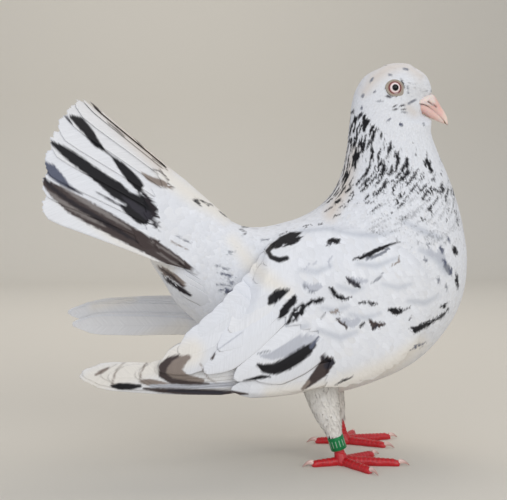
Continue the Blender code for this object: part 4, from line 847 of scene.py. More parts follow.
def newPlumage(name, barbGap, roughness, barbShade, barbDeep):
    # keratin barbs, matt and a little silky: fine slanting streaks on each side of the shaft. Real barbs
    # stand 0.3 mm apart, drawn here in locks of barbGap mm so that they show
    material, shader = newMaterial(name, {"Roughness": roughness, "Specular IOR Level": 0.28,
                                          "Sheen Weight": 0.05, "Sheen Roughness": 0.45})
    tint = addNode(material, "ShaderNodeAttribute", {"attribute_name": "tint"})
    vane = addNode(material, "ShaderNodeAttribute", {"attribute_name": "vane"})
    parts = addNode(material, "ShaderNodeSeparateXYZ", links={0: vane.outputs["Vector"]})
    side = addNode(material, "ShaderNodeMath", {"operation": "ABSOLUTE"}, {0: parts.outputs["X"]})
    slant = addNode(material, "ShaderNodeMath", {"operation": "MULTIPLY_ADD", 1: -0.9},
                    {0: side.outputs[0], 2: parts.outputs["Y"]})
    rows = addNode(material, "ShaderNodeMath", {"operation": "DIVIDE", 1: barbGap}, {0: slant.outputs[0]})
    out = addNode(material, "ShaderNodeMath", {"operation": "MULTIPLY", 1: 0.16}, {0: side.outputs[0]})
    own = addNode(material, "ShaderNodeMath", {"operation": "MULTIPLY", 1: 53.0}, {0: parts.outputs["Z"]})
    where = addNode(material, "ShaderNodeCombineXYZ",
                    links={0: rows.outputs[0], 1: out.outputs[0], 2: own.outputs[0]})
    barbs = addNode(material, "ShaderNodeTexNoise", {"Scale": 1.0, "Detail": 3.0, "Roughness": 0.6},
                    {"Vector": where.outputs[0]})
    shade = addNode(material, "ShaderNodeMapRange", {"From Min": 0.25, "From Max": 0.75, "To Min": barbShade,
                                                     "To Max": 1.02}, {"Value": barbs.outputs["Fac"]})
    colour = addNode(material, "ShaderNodeMix", {"data_type": "RGBA", "blend_type": "MULTIPLY", 0: 1.0},
                     {6: tint.outputs["Color"], 7: shade.outputs["Result"]})
    relief = addNode(material, "ShaderNodeBump", {"Strength": barbDeep, "Distance": 0.0004},
                     {"Height": barbs.outputs["Fac"]})
    connect(material, shader, {"Base Color": colour.outputs[2], "Normal": relief.outputs["Normal"]})
    return material


contourPlumage = newPlumage("matSoftContourFeathers", 0.7, 0.75, 0.95, 0.12)
flightPlumage = newPlumage("matFirmFlightFeathers", 0.9, 0.6, 0.91, 0.25)
downPlumage = newPlumage("matSilkyThighDown", 0.9, 0.8, 0.93, 0.2)

coat = {  # lengths and widths in millimetres, along the body from head to tail
    "at": (-1.0, 2.0, 4.5, 7.0, 9.0, 12.0, 16.0, 19.0, 23.0),
    "long": (2.9, 3.3, 4.2, 5.6, 7.0, 8.2, 9.2, 10.0, 11.5),
    "wide": (0.9, 1.0, 1.2, 1.7, 2.6, 3.6, 4.4, 4.8, 5.4),
    "deep": (0.12, 0.14, 0.18, 0.25, 0.32, 0.38, 0.42, 0.45, 0.5),
}
billOutline = [(111.8, 220.8), (101.8, 213.6), (104.2, 211.0), (105.6, 208.0), (110.4, 204.8), (121.0, 199.0),
               (126.0, 214.0)]


def coatSize(name):
    return lambda t: np.interp(t, coat["at"], coat[name])


def lieOfCoat(a, b):  # from the bill back over the crown and the cheeks, then down the neck to the tail
    here, alongT, _, _ = outward(bodyAt, a, b, 1)
    x, z = here[:, 0], here[:, 2]
    over = np.stack([-(z - 218.0), 0 * x, x - 86.0], -1) / 20.0
    back = np.array([-0.75, 0, -0.62]) + 0 * over
    high = ease((z - 212.0) / 18.0)[:, None]
    onHead = unit(blend(back, over, high))
    return unit(blend(onHead, unit(alongT), ease((a - 2.6) / 2.6)[:, None] * (1 - high)))


def underWing(points, side, margin):  # lies on the body where a wing covers it
    x, z = points[:, 0], points[:, 2]
    top, low = wingEdge(x)
    inside = (z < top - margin) & (z > low + margin) & (x < 88) & (x > (-30 if side < 0 else 12))
    return inside & (points[:, 1] * side > 0)


def keepClear(points):  # spots that the eyes and the bill leave free
    x, z = points[:, 0], points[:, 2]
    eye = np.hypot((x - eyeSpot[0]) * 0.95, z - eyeSpot[1]) > 5.2
    inBill = np.ones(len(x), bool)
    for (x0, z0), (x1, z1) in zip(billOutline, billOutline[1:] + billOutline[:1]):
        inBill &= (x1 - x0) * (z - z0) - (z1 - z0) * (x - x0) > 0
    return eye & ~inBill


def coatPiece(name, firstT, lastT, lines, rows, along, across, changes, keep=None):
    long, wide = coatSize("long"), coatSize("wide")
    a, b = coatSpots(bodyAt, firstT, lastT, lines, lambda t: long(t) * along, lambda t: wide(t) * across)
    here = bodyAt(a, b)
    chosen = keepClear(here) & ~underWing(here, -1, 11.0) & ~underWing(here, 1, 11.0)
    if keep is not None:
        chosen &= keep(a, b)
    a, b = a[chosen], b[chosen]
    sizes = 1 + rng.normal(0, 0.09, (2, len(a)))
    lie, length = lieOfCoat(a, b), long(a) * sizes[0]
    for share in (0.75, 0.5, 0.3):  # the feathers before the eye are short
        tip = bodyAt(a, b) + lie * length[:, None]
        over = np.hypot(tip[:, 0] - eyeSpot[0], tip[:, 2] - eyeSpot[1]) < 4.9
        length = np.where(over, long(a) * share, length)
    batch = layCoat(bodyAt, 1, a, b, lie, length, wide(a) * sizes[1], vaneTemplate(rows, oneRidge, False),
                    {**changes, "deep": coatSize("deep")(a)[:, None]})
    carry(addMesh(name, [batch], contourPlumage), "plumage")
    print(name, len(a), "feathers", int((batch["counts"] - 2).sum()), "triangles")


def grainAt(x, y, seed):  # smooth random values over a plane, about 0 to 1
    table = np.random.default_rng(seed).random((64, 64))
    i, j = np.floor(x).astype(int), np.floor(y).astype(int)
    f, g = ease(x - i), ease(y - j)
    i, j = i % 64, j % 64
    i1, j1 = (i + 1) % 64, (j + 1) % 64
    return blend(blend(table[i, j], table[i1, j], f), blend(table[i, j1], table[i1, j1], f), g)


def neckStreaks(points, t, turn):  # dark flecks that run with the feathers, densest down the neck's middle
    u, v = sideSpot(points)
    top = np.interp(u, (350, 362, 376, 388, 398, 414, 424, 436), (104, 110, 119, 130, 146, 150, 134, 128))
    band = ease((v - top) / 12) * (1 - ease((v - 190) / 40))
    throat = ease((u - (396 + (v - 120) * 0.33)) / 14) * (1 - ease((u - (424 + (v - 120) * 0.32)) / 12))
    amount = band * (0.465 - 0.25 * throat * (1 - ease((v - 165) / 30)))
    low = ease((v - 185) / 20) * (1 - ease((v - 222) / 34)) * ease((u - 352) / 30) * 0.25
    amount = np.maximum(np.maximum(amount, low), 0.57 * covered(u, v, "neck", 2.4))
    # millimetres round the neck and down it, for flecks of 1 by 4.6 mm broken up by smaller ones
    about = turn * np.interp(t, (0, 4, 7, 9, 12), (12, 15, 22, 34, 60))
    down = np.interp(t, (0, 4, 7, 9, 12), (0, 36, 68, 92, 150))
    value = 0.54 * grainAt(about, down / 4.6, 3) + 0.46 * grainAt(about / 0.72 + 9, down / 3.0, 5)
    # paler, finer ones below, where the neck passes into the breast
    faint = ease((v - 186) / 18) * (1 - ease((v - 236) / 34)) * ease((u - 352) / 26) * 0.43
    fine = 0.6 * grainAt(about / 0.7 + 3, down / 5.2, 8) + 0.4 * grainAt(about / 0.55, down / 3.4, 9)
    return np.maximum(ease((amount - value) / 0.06), 0.36 * ease((faint - fine) / 0.1))


shortRows, longRows, oneRidge = (0, 0.4, 0.75, 1), (0, 0.24, 0.46, 0.66, 0.85, 1), (-1, 0, 1)
onHead = {"marks": ["head"], "streak": neckStreaks, "lift": 0.06, "sink": 0.09, "arch": 0.06, "uneven": 0.04,
          "stray": 0.14, "keep": 0.6, "drift": 0.15, "edge": 1.2, "fringe": 0.2}
onNeck = {"marks": ["head", "breast", "back"], "streak": neckStreaks, "lift": 0.1, "sink": 0.16, "arch": 0.12,
          "stray": 0.16, "soft": 0.12}
onBelly = {"marks": ["back", "wing"], "lift": 0.1, "sink": 0.15, "arch": 0.08, "uneven": 0.07, "keep": 0.95,
           "share": (0.55, 1.0, 1.0, 0.8, 0.3)}
onBreast = {**onBelly, "marks": ["breast", "back", "wing"], "streak": neckStreaks,
            "share": smallFeather["share"]}
onRump = {"marks": ["back"], "share": onBelly["share"], "lift": 0.08, "sink": 0.12, "arch": 0.07,
          "uneven": 0.05, "keep": 1.0, "drift": 0.15, "fringe": 0.5}
# from and to along the body, lines round it, rows of a feather, its gap ahead and aside as shares of its size
coatPiece("coatHead", -0.95, 4.7, 260, shortRows, 0.26, 0.53, onHead)
coatPiece("coatNeck", 4.1, 8.2, 240, shortRows, 0.29, 0.52, onNeck)
coatPiece("coatBreast", 7.9, 10.4, 220, longRows, 0.28, 0.50, onBreast)
coatPiece("coatBody", 10.1, 13.0, 200, longRows, 0.27, 0.47, onBreast)
coatPiece("coatBelly", 12.7, 16.2, 170, longRows, 0.24, 0.43, onBelly)
coatPiece("coatRump", 15.8, 20.0, 160, longRows, 0.21, 0.38, onRump)
coatPiece("coatUnderTail", 19.6, 25.6, 120, longRows, 0.25, 0.42, {**onRump, "marks": ["underTail"]},
          lambda a, b: (np.cos(b) < 0.1) | (a > 21.4))


def bodySpot(x, z):  # where on the body's right side these places of the side drawing lie
    t, turn = np.meshgrid(np.linspace(12, 23, 220), np.linspace(0.05, math.pi - 0.05, 160), indexing="ij")
    spots = bodyAt(t.ravel(), turn.ravel())
    near = np.argmin((x[:, None] - spots[:, 0]) ** 2 + (z[:, None] - spots[:, 2]) ** 2, axis=1)
    return t.ravel()[near], turn.ravel()[near]


def underTailFeathers():  # the long ones under the tail: x and z of the root and of the tip
    rows = np.array([(-22.0, 92.0, -57.0, 110.0), (-24.0, 96.0, -60.0, 114.5), (-27.0, 101.0, -62.5, 119.5),
                     (-30.0, 107.0, -65.0, 126.0), (-20.0, 88.0, -52.0, 104.0)])
    a, b = bodySpot(rows[:, 0], rows[:, 1])
    along = rows[:, 2:] - rows[:, :2]
    ahead = np.tile(np.column_stack([along[:, 0], 0.0 * along[:, 0], along[:, 1]]), (2, 1))
    a, b = np.tile(a, 2), np.concatenate([b, 2 * math.pi - b])
    template = vaneTemplate(np.linspace(0, 1, 26), bothSides([0.15, 0.32, 0.5, 0.68, 0.85, 1]), False)
    long, wide = np.linalg.norm(ahead, axis=1), np.full(len(a), 10.5)
    batch = layCoat(bodyAt, 1, a, b, unit(ahead), long, wide, template, {
        "marks": ["underTail"], "keep": 1.0, "drift": 0.1, "fringe": 0.2, "soft": 0.0,
        "at": (0, 0.3, 0.7, 0.9, 1.0), "share": (0.5, 0.9, 1.0, 0.8, 0.4), "ragged": 0.006, "stray": 0.02,
        "lift": 1.1, "sink": 0.1, "deep": 0.8, "curve": 2.0, "arch": 0.25, "uneven": 0.2})
    carry(addMesh("underTailFeathers", [batch], contourPlumage), "plumage")


underTailFeathers()
print("body coat ready")


# wings

wingCoverAt = np.array([(-100.0, 3.6), (-60.0, 6.5), (-40.0, 8.8), (-10.0, 8.9), (15.0, 8.0), (40.0, 7.0),
                        (60.0, 5.6), (76.0, 3.6), (90.0, 1.4), (104.0, -1.0)])


def wingCover(x, z):  # how far the top of the feathers lies off the wing's base surface
    top, low = wingEdge(x)
    high = np.interp(x, wingCoverAt[:, 0], wingCoverAt[:, 1])
    upper = 1 - 0.74 * ease((z - top + 16) / 22) * ease((x + 22) / 12)
    lower = 1 - 0.35 * ease((low - z + 3.0) / 8)
    return high * upper * lower


# which way the wing's feathers lie: x, z and degrees below straight back
lieSpots = np.array([
    (100.0, 112.0, 70.0), (100.0, 92.0, 62.0), (88.0, 124.0, 42.0), (86.0, 100.0, 58.0), (84.0, 76.0, 40.0),
    (68.0, 132.0, 20.0), (66.0, 110.0, 38.0), (62.0, 90.0, 54.0), (60.0, 66.0, 32.0), (45.0, 134.0, 15.0),
    (42.0, 116.0, 26.0), (40.0, 98.0, 46.0), (38.0, 82.0, 56.0), (36.0, 62.0, 30.0), (20.0, 134.0, 12.0),
    (16.0, 118.0, 24.0), (12.0, 98.0, 46.0), (10.0, 84.0, 56.0), (12.0, 64.0, 32.0), (12.0, 52.0, 10.0),
    (-6.0, 112.0, 34.0), (-10.0, 94.0, 44.0), (-14.0, 76.0, 42.0), (-14.0, 58.0, 16.0), (-34.0, 66.0, 30.0)])


def wingLie(x, z):
    away = (x[:, None] - lieSpots[:, 0]) ** 2 + (z[:, None] - lieSpots[:, 1]) ** 2
    weight = 1 / (away + 30.0) ** 1.6
    angle = np.radians((weight * lieSpots[:, 2]).sum(1) / weight.sum(1))
    return np.stack([-np.cos(angle), np.sin(angle) * 0, -np.sin(angle)], -1)


wing = {
    "primaries": [  # outermost first: x and z of the tip, x and z of the root, width
        (-99.5, 57.4, -4.0, 50.5, 14.5), (-98.5, 59.0, -3.0, 53.0, 14.5), (-88.5, 58.6, -2.5, 54.5, 14.5),
        (-84.5, 57.0, -1.0, 56.0, 14.5), (-70.0, 58.4, 0.0, 58.0, 14.5), (-68.0, 59.2, 1.0, 60.0, 14.5),
        (-59.5, 61.4, 2.0, 62.0, 14.5), (-57.0, 63.0, 4.0, 65.0, 14.5)],
    "primariesLeft": [  # spread into two blunt groups
        (-98.0, 51.5, -4.0, 48.0, 12.5), (-99.5, 52.2, -3.0, 49.0, 12.5), (-98.0, 53.0, -2.5, 50.0, 12.5),
        (-94.0, 53.6, -1.0, 51.0, 12.5), (-101.0, 58.8, 0.0, 57.0, 12.5), (-102.5, 59.6, 1.0, 59.0, 12.5),
        (-100.0, 60.4, 2.0, 61.0, 12.5), (-95.0, 61.2, 4.0, 64.0, 12.5)],
    "secondaries": [  # lowest first, those below nearly level
        (-19.5, 51.4, 36.0, 54.5, 13.0), (-12.0, 51.0, 48.0, 58.0, 13.5), (2.0, 53.0, 60.0, 64.0, 14.0)],
    "tertials": [
        (-57.5, 61.5, 12.0, 96.0, 17.5), (-47.0, 70.0, 14.0, 111.0, 16.0), (-38.5, 76.5, 16.0, 117.0, 15.5),
        (-31.0, 82.5, 17.0, 121.0, 15.0), (-24.5, 88.5, 18.0, 124.0, 15.0), (-18.5, 95.0, 20.0, 126.5, 14.5),
        (-13.0, 101.5, 23.0, 128.5, 14.0), (-8.0, 108.0, 27.0, 130.5, 14.0), (-3.5, 114.5, 31.0, 132.0, 13.5),
        (1.5, 120.5, 36.0, 133.0, 13.0)],
    "greater": [
        (-33.8, 60.5, 16.0, 99.0, 15.5), (-18.0, 57.0, 30.0, 92.0, 15.5), (-7.0, 57.6, 41.0, 84.0, 20.0),
        (-26.5, 71.5, 18.0, 108.0, 14.5), (-20.5, 80.5, 19.0, 114.0, 14.0), (-15.0, 89.5, 20.0, 118.5, 14.0),
        (-10.0, 98.0, 23.0, 123.0, 13.5), (-5.5, 106.0, 26.0, 127.0, 13.0), (0.0, 114.0, 31.0, 130.0, 13.0)],
    # heights over the wing's base or under its cover, the step from one to the next, the tilt and the bow
    "tiers": {"primaries": (0.6, 0.45, 0.02, 0.0), "secondaries": (-2.0, 0.2, 0.03, 0.8),
              "tertials": (-1.5, 0.0, 0.06, 2.6), "greater": (-0.9, 0.08, 0.05, 1.8)},
    # how far back the small coverts' tips reach, at each height
    "covertEnds": ((44, 52, 60, 68, 74, 79, 83, 90, 100, 110, 118, 132),
                   (33, 33, 33, 31, 29, 24, 4, -3, -5, -3, 0, 6)),
    "unwrap": (-110.0, 110.0, 30.0, 145.0),
}


def wingFlights(side, kind, name):
    rows = np.array(wing[kind + "Left" if side > 0 and kind + "Left" in wing else kind])
    primary = kind == "primaries"
    if side > 0 and kind == "tertials":  # shorter, so that they stay behind the tail as in the picture
        rows[:, :2] += 0.25 * (rows[:, 2:4] - rows[:, :2])
    base, step, tilt, bow = wing["tiers"][kind]

    def high(v, u, x, z, k, sideways):
        if primary:
            return base + step * k + tilt * sideways + 0.5 * v - 0.36 * np.abs(u) ** 2 * (u > 0)
        sink = 0.35 * np.maximum(u, 0) ** 4 + 0.25 * ease((v - 0.9) / 0.1)
        return wingCover(x, z) + base + step * k - 1.5 * (1 - v) ** 2.6 + tilt * sideways - sink

    plan = {"step": 1.0, "high": high, "ragged": 0.002, "round": 0.075 if primary else 0.105, "bow": bow,
            "at": (0, 0.2, 0.6, 0.86, 0.96, 1.0), "share": (0.3, 0.8, 1.0, 0.96, 0.8, 0.56),
            "thin": 0.1, "thick": 0.14, "shaft": 0.14, "fray": 0.07, "marks": ["primaries", "wing"],
            "creamOf": lambda k: np.full(len(k), 0.3 if primary else 0.0),
            "unwrap": wing["unwrap"], "scaleAcross": 1.0}
    columns = bothSides([0.04, 0.1, 0.19, 0.28, 0.37, 0.46, 0.55, 0.64, 0.73, 0.82, 0.91, 1])
    along = np.concatenate([np.linspace(0, 0.36, 8), np.linspace(0.4, 1, 46)])
    template = vaneTemplate(along, columns, primary)
    roots = rows[:, 2:4] + (0.15 if kind == "greater" else 0) * (rows[:, 2:4] - rows[:, :2])
    batch = layFlight(wingAt(side), -side, roots, rows[:, :2], rows[:, 4], template, plan)
    carry(addMesh(name, [batch], flightPlumage), "plumage")


covertFeather = {"at": (0, 0.3, 0.7, 0.88, 1.0), "curve": 2.6, "keep": 1.0, "bound": 40.0}


def covertCover(x, z):  # the last coverts sink into the long feathers behind them
    return wingCover(x, z) - 0.8 * ease(1 - (x - np.interp(z, *wing["covertEnds"])) / 12)


def wingCoverts(side, name):
    spots = []
    x, j = 103.0, 0
    while x > 0:
        apart = np.interp(x, (0, 20, 60, 100), (5.6, 5.0, 3.7, 2.6))
        z = 44.0 + (j % 2) * apart * 0.5
        while z < 137:
            spots.append((x, z, apart))
            z += apart
        x -= apart * 0.66
        j += 1
    spots = np.array(spots)
    x = spots[:, 0] + rng.normal(0, 0.1, len(spots)) * spots[:, 2]
    z = spots[:, 1] + rng.normal(0, 0.1, len(spots)) * spots[:, 2]
    long, wide = spots[:, 2] * 3.5, spots[:, 2] * 2.2
    lie = wingLie(x, z)
    top, low = wingEdge(x)
    tipX, tipZ = x + lie[:, 0] * long, z + lie[:, 2] * long
    _, lowAtTip = wingEdge(tipX)
    inside = (z < top + 1.0) & (z > low - 0.5) & (tipZ > lowAtTip - 1.5)
    inside &= tipX > np.interp(tipZ, *wing["covertEnds"]) + rng.normal(0, 0.8, len(x))
    x, z, long, wide, lie = x[inside], z[inside], long[inside], wide[inside], lie[inside]
    template = vaneTemplate((0, 0.3, 0.52, 0.64, 0.73, 0.8, 0.87, 0.93, 0.97, 1),
                            bothSides([0.2, 0.4, 0.6, 0.8, 1]), False)
    batch = layCoat(wingAt(side), -side, x, z, lie, long, wide, template, {
        **covertFeather, "marks": ["wing", "back", "breast"], "cover": covertCover, "drift": 0.2,
        "share": (0.5, 0.95, 1.0, 0.82, 0.4), "ragged": 0.012, "round": 0.26, "stray": 0.06, "deep": 1.2,
        "arch": 0.18, "step": 1.0, "unwrap": wing["unwrap"]})
    carry(addMesh(name, [batch], contourPlumage), "plumage")
    print(name, len(x), "feathers")


for sideName, side in (("Right", -1), ("Left", 1)):
    for kind in ("primaries", "secondaries", "tertials"):
        wingFlights(side, kind, kind + sideName)
    wingFlights(side, "greater", "greaterCoverts" + sideName)
    wingCoverts(side, "coverts" + sideName)
print("wings ready")


# tail


def tailFlights():
    k = np.arange(-tail["pairs"], tail["pairs"] + 1)
    out = np.abs(k) / tail["pairs"]
    roots = np.column_stack([4.0 - tail["rootBack"] * out, k])
    tips = np.column_stack([tail["long"] + tail["tipSwell"] * np.sin(math.pi * out ** 0.8)
                            - tail["tipDrop"] * out ** 3, k])
    columns = bothSides([0.05, 0.12, 0.2, 0.28, 0.36, 0.44, 0.52, 0.6, 0.68, 0.76, 0.84, 0.92, 1])

    def high(v, u, along, pitches, n, sideways):
        centre = k[n]
        lift = tail["rise"] * (np.abs(pitches) - np.abs(centre)) * (centre != 0)
        return tail["low"] + lift + 1.2 * (centre == 0) - 3.0 * (1 - ease(v / 0.25)) + 0.35 * v

    plan = {"step": 0.05, "high": high, "ragged": 0.005, "round": 0.045, "bow": 0.0,
            "at": (0, 0.25, 0.84, 0.94, 1.0), "share": (0.36, 0.86, 1.0, 0.95, 0.72),
            "thin": 0.1, "thick": 0.16, "shaft": 0.16, "fray": 0.1, "marks": ["tail"],
            "creamOf": lambda n: 0.4 - 0.4 * np.abs(k[n]) / tail["pairs"],
            "unwrap": tail["unwrap"], "scaleAcross": 7.0}
    batch = layFlight(tailAt, tailTurned, roots, tips, np.where(np.abs(k) == 1, 1.9, 2.4),
                      vaneTemplate(np.linspace(0, 1, 74) ** 0.94, columns, True), plan)
    carry(addMesh("tailFeathers", [batch], flightPlumage), "plumage")


def tailCover(along, pitches):  # how far the coverts lie off the tail's base surface
    return np.interp(along, (-20, 0, 30, 50), (0.6, 2.4, 3.2, 2.4)) * (1 - 0.25 * np.abs(pitches) / 8)


def tailCoverts():
    spots = []
    along, j = -16.0, 0
    while along < 30:
        apart = np.interp(along, (-16, 30), (0.52, 0.72))
        pitches = -8.2 + (j % 2) * apart / 2
        while pitches < 8.3:
            spots.append((along, pitches))
            pitches += apart
        along += np.interp(along, (-16, 30), (2.1, 3.2))
        j += 1
    spots = np.array(spots) + rng.normal(0, 1, (len(spots), 2)) * np.array([0.6, 0.1])
    a, b = spots[:, 0], spots[:, 1]
    inside = a < 27 - 1.5 * np.abs(b) + rng.normal(0, 1.2, len(a))
    a, b = a[inside], b[inside]
    long = np.interp(a, (-16, 30), (15, 26)) * (1 + rng.normal(0, 0.06, len(a)))
    template = vaneTemplate((0, 0.3, 0.52, 0.66, 0.78, 0.88, 0.95, 1), bothSides([0.25, 0.5, 0.75, 1]), False)
    ahead = np.broadcast_to(tailAxis, (len(a), 3))
    batch = layCoat(tailAt, tailTurned, a, b, ahead, long, long * 0.42, template, {
        **covertFeather, "marks": ["tail", "back"], "cover": tailCover, "fringe": 0.4, "ragged": 0.015,
        "share": (0.5, 0.95, 1.0, 0.75, 0.3), "round": 0.2, "stray": 0.05, "lift": 0.16, "sink": 0.28,
        "deep": 1.1, "arch": 0.16, "uneven": 0.08, "step": 0.05, "unwrap": tail["unwrap"]})
    carry(addMesh("tailCoverts", [batch], contourPlumage), "plumage")
    print("tail coverts", len(a))


tailProbe = outward(tailAt, np.array([40.0]), np.array([0.0]), 1, 0.05)[3][0]
tailTurned = 1 if tailProbe @ tailUp > 0 else -1
tailFlights()
tailCoverts()
print("tail ready")


# skin under the coat, in place of the solids of flesh

skin = {"bodyRings": (-0.9, 24.9, 156, 64), "tailPoint": (-83.0, 0, 182.0), "thighRings": (-0.6, 5.0, 26, 36),
        "wingFrom": 97.0, "wingTo": -11.0, "wingRings": 40, "voxel": 0.0013, "tone": 0.92}


def ringsOf(surface, first, last, count, sides, inset):
    t = np.repeat(np.linspace(first, last, count), sides)
    turn = np.tile(np.linspace(0, 2 * math.pi, sides, endpoint=False), count)
    here, _, _, out = outward(surface, t, turn, 1)
    return (here - out * inset(t)[:, None]).reshape(count, sides, 3)


def wingSkin(side):
    rings, across = [], 22
    for x in np.linspace(skin["wingFrom"], skin["wingTo"], skin["wingRings"]):
        top, low = wingEdge(x)
        z = top - 3 + (low + 3 - top + 3) * np.linspace(0, 1, across)
        here, _, _, out = outward(wingAt(side), np.full(across, x), z, -side, 1.0)
        cover = wingCover(np.full(across, x), z)[:, None] - 3.6
        deep = 1.0 + 11.0 * ease((x + 14.0) / 14.0)
        rings.append(np.vstack([here + out * np.minimum(cover, 9), (here - out * (deep - 1))[::-1]]))
    return loftBatch(rings)


def makeSkin():
    bodyRings = ringsOf(bodyAt, *skin["bodyRings"],
                        lambda t: np.interp(t, (22, 25), (1, 0.3)) * (coatSize("deep")(t) + 0.5))
    batches = [loftBatch(bodyRings, (crown[0], 0, crown[1] - 1.0), skin["tailPoint"])]
    batches += [loftBatch(ringsOf(thighAt(leg), *skin["thighRings"], np.ones_like)) for leg in legs]
    batches += [wingSkin(side) for side in (-1, 1)]
    # thin pale skin, matt, with short white down of about 0.7 mm on it
    bare = grainyMaterial("matBirdSkin", {"Roughness": 0.6}, "Noise", {"Scale": 1400.0, "Detail": 3.0},
                          {"Strength": 0.5, "Distance": 0.0004})
    made = addMesh("birdSkin", batches, bare)
    bpy.ops.object.select_all(action="DESELECT")
    made.select_set(True)
    bpy.context.view_layer.objects.active = made
    merge = made.modifiers.new("merge", "REMESH")
    merge.mode, merge.voxel_size = "VOXEL", skin["voxel"]
    bpy.ops.object.modifier_apply(modifier=merge.name)
    points = np.empty(len(made.data.vertices) * 3, np.float32)
    made.data.vertices.foreach_get("co", points)
    points = (points.reshape(-1, 3) - np.array([drawingShift, 0, 0])) * 1000
    colour = np.ones(points.shape) * tones["white"] * skin["tone"]
    tintPoints(made.data, paint(colour, points, ["head", "breast", "back", "wing"]))
    made.data.shade_smooth()
    carry(made, "plumage", "head", "neck", "torso", "rump", "tail", "wing_right", "wing_left", "thigh_right",
          "thigh_left")
    print("skin", len(made.data.polygons), "faces")


makeSkin()


# thighs: silky, hair-like tufts that hang over the legs


def thighTufts(leg):
    surface = thighAt(leg)
    spots = []
    for j, t in enumerate(np.linspace(-0.2, 4.5, 34)):
        count = int(np.interp(t, (0, 5), (46, 28)))
        for i in range(count):
            at = t + rng.normal(0, 0.06)
            spots.append((at, 2 * math.pi * (i + 0.5 * (j % 2) + rng.normal(0, 0.15)) / count))
    a, b = np.array(spots).T
    probe = outward(surface, np.array([2.0]), np.array([0.0]), 1)[3][0]
    turned = 1 if probe[0] > 0 else -1
    long = np.interp(a, (0, 5), (12.0, 7.5)) * (1 + rng.normal(0, 0.2, len(a)))
    ahead = np.tile(np.array([0.12, 0, -1.0]), (len(a), 1))
    template = vaneTemplate((0, 0.3, 0.6, 0.82, 1), oneRidge, False)
    batch = layCoat(surface, turned, a, b, ahead, long, np.full(len(a), 2.3), template, {
        "at": (0, 0.35, 0.7, 1.0), "share": (0.6, 1.0, 0.75, 0.1), "round": 0.2, "ragged": 0.03,
        "stray": 0.24, "lift": 0.3, "sink": -0.3, "deep": 0.5, "curve": 2.6, "arch": 0.07, "uneven": 0.12,
        "soft": 0.15, "cream": 1.0, "keep": 1.0, "drift": 0.2, "fringe": 0.2,
        "unwrap": (-1.0, 7.0, -1.0, 7.5)})
    carry(addMesh("thighTufts" + leg.title(), [batch], downPlumage), "plumage")
    print("thigh tufts", len(a))


for leg in legs:
    thighTufts(leg)
print("coat ready")


# eyes

eye = {
    "radius": 5.0, "out": 10.2, "pupil": 2.0, "iris": 3.2, "rim": 3.85,
    "ring": [  # distance from the eye's middle, height and colour of the bare skin round it; the darker bands in the low creases and at the outer edge are painted shade
        (3.6, 0.5, "#5A2E2B"), (3.8, 0.85, "#6F3F3A"), (3.98, 1.08, "#94665C"), (4.2, 1.0, "#A68D7D"),
        (4.4, 1.1, "#AFA090"), (4.62, 0.9, "#8F8378"), (4.85, 0.96, "#B2A595"), (5.1, 0.72, "#9B9186"),
        (5.35, 0.62, "#B1A89C"), (5.6, 0.25, "#8B857E"), (6.0, -0.7, "#8E8781")],
    "corners": ((-42, 0.34), (160, 0.10)),  # towards the bill and behind: degrees, and how far they reach out
}


def eyeMaterial(name, side):
    # a wet, clear cornea over a pearl iris with a red-brown rim, in rings by the distance from the eye's axis
    material, shader = newMaterial(name, {"Roughness": 0.4, "Specular IOR Level": 0.0, "Coat Weight": 0.7,
                                          "Coat IOR": 1.376, "Coat Roughness": 0.02})
    place = addNode(material, "ShaderNodeTexCoord")
    centre = (eyeSpot[0] / 1000 + drawingShift, side * eye["out"] / 1000, eyeSpot[1] / 1000)
    fromAxis = addNode(material, "ShaderNodeVectorMath", {"operation": "SUBTRACT", 1: centre},
                       {0: place.outputs["Object"]})
    flat = addNode(material, "ShaderNodeVectorMath", {"operation": "MULTIPLY", 1: (1, 0, 1)},
                   {0: fromAxis.outputs[0]})
    away = addNode(material, "ShaderNodeVectorMath", {"operation": "LENGTH"}, {0: flat.outputs[0]})
    grain = addNode(material, "ShaderNodeTexNoise", {"Scale": 1500.0, "Detail": 3.0},
                    {"Vector": place.outputs["Object"]})  # flecks of 0.7 mm in the iris
    wander = addNode(material, "ShaderNodeMath", {"operation": "MULTIPLY_ADD", 1: 0.00022, 2: -0.00011},
                     {0: grain.outputs["Fac"]})
    at = addNode(material, "ShaderNodeMath", {"operation": "ADD"},
                 {0: away.outputs["Value"], 1: wander.outputs[0]})
    share = addNode(material, "ShaderNodeMath", {"operation": "DIVIDE", 1: 0.005}, {0: at.outputs[0]})
    ramp = addNode(material, "ShaderNodeValToRGB", links={0: share.outputs[0]})
    stops = [(0.0, "#07070A"), (eye["pupil"] / 5 - 0.02, "#08080B"), (eye["pupil"] / 5 + 0.02, "#F2E6E4"),
             (eye["iris"] / 5 - 0.06, "#EBD3D3"), (eye["iris"] / 5 + 0.01, "#9A5E5C"),
             (eye["rim"] / 5 - 0.04, "#6E3835"), (eye["rim"] / 5 + 0.03, "#3A1E1D")]
    for i, (position, code) in enumerate(stops):
        stop = ramp.color_ramp.elements[i] if i < 2 else ramp.color_ramp.elements.new(position)
        stop.position, stop.color = position, (*linear(code), 1)
    connect(material, shader, {"Base Color": ramp.outputs["Color"]})
    return material


def headSide(x, z):  # distance of the head's side from the middle, at a place on the side drawing
    t, turn = np.meshgrid(np.linspace(0, 5, 120), np.linspace(0.05, math.pi - 0.05, 120), indexing="ij")
    spots = bodyAt(t.ravel(), turn.ravel())
    away = (x[:, None] - spots[:, 0]) ** 2 + (z[:, None] - spots[:, 2]) ** 2
    return -spots[np.argmin(away, axis=1), 1]


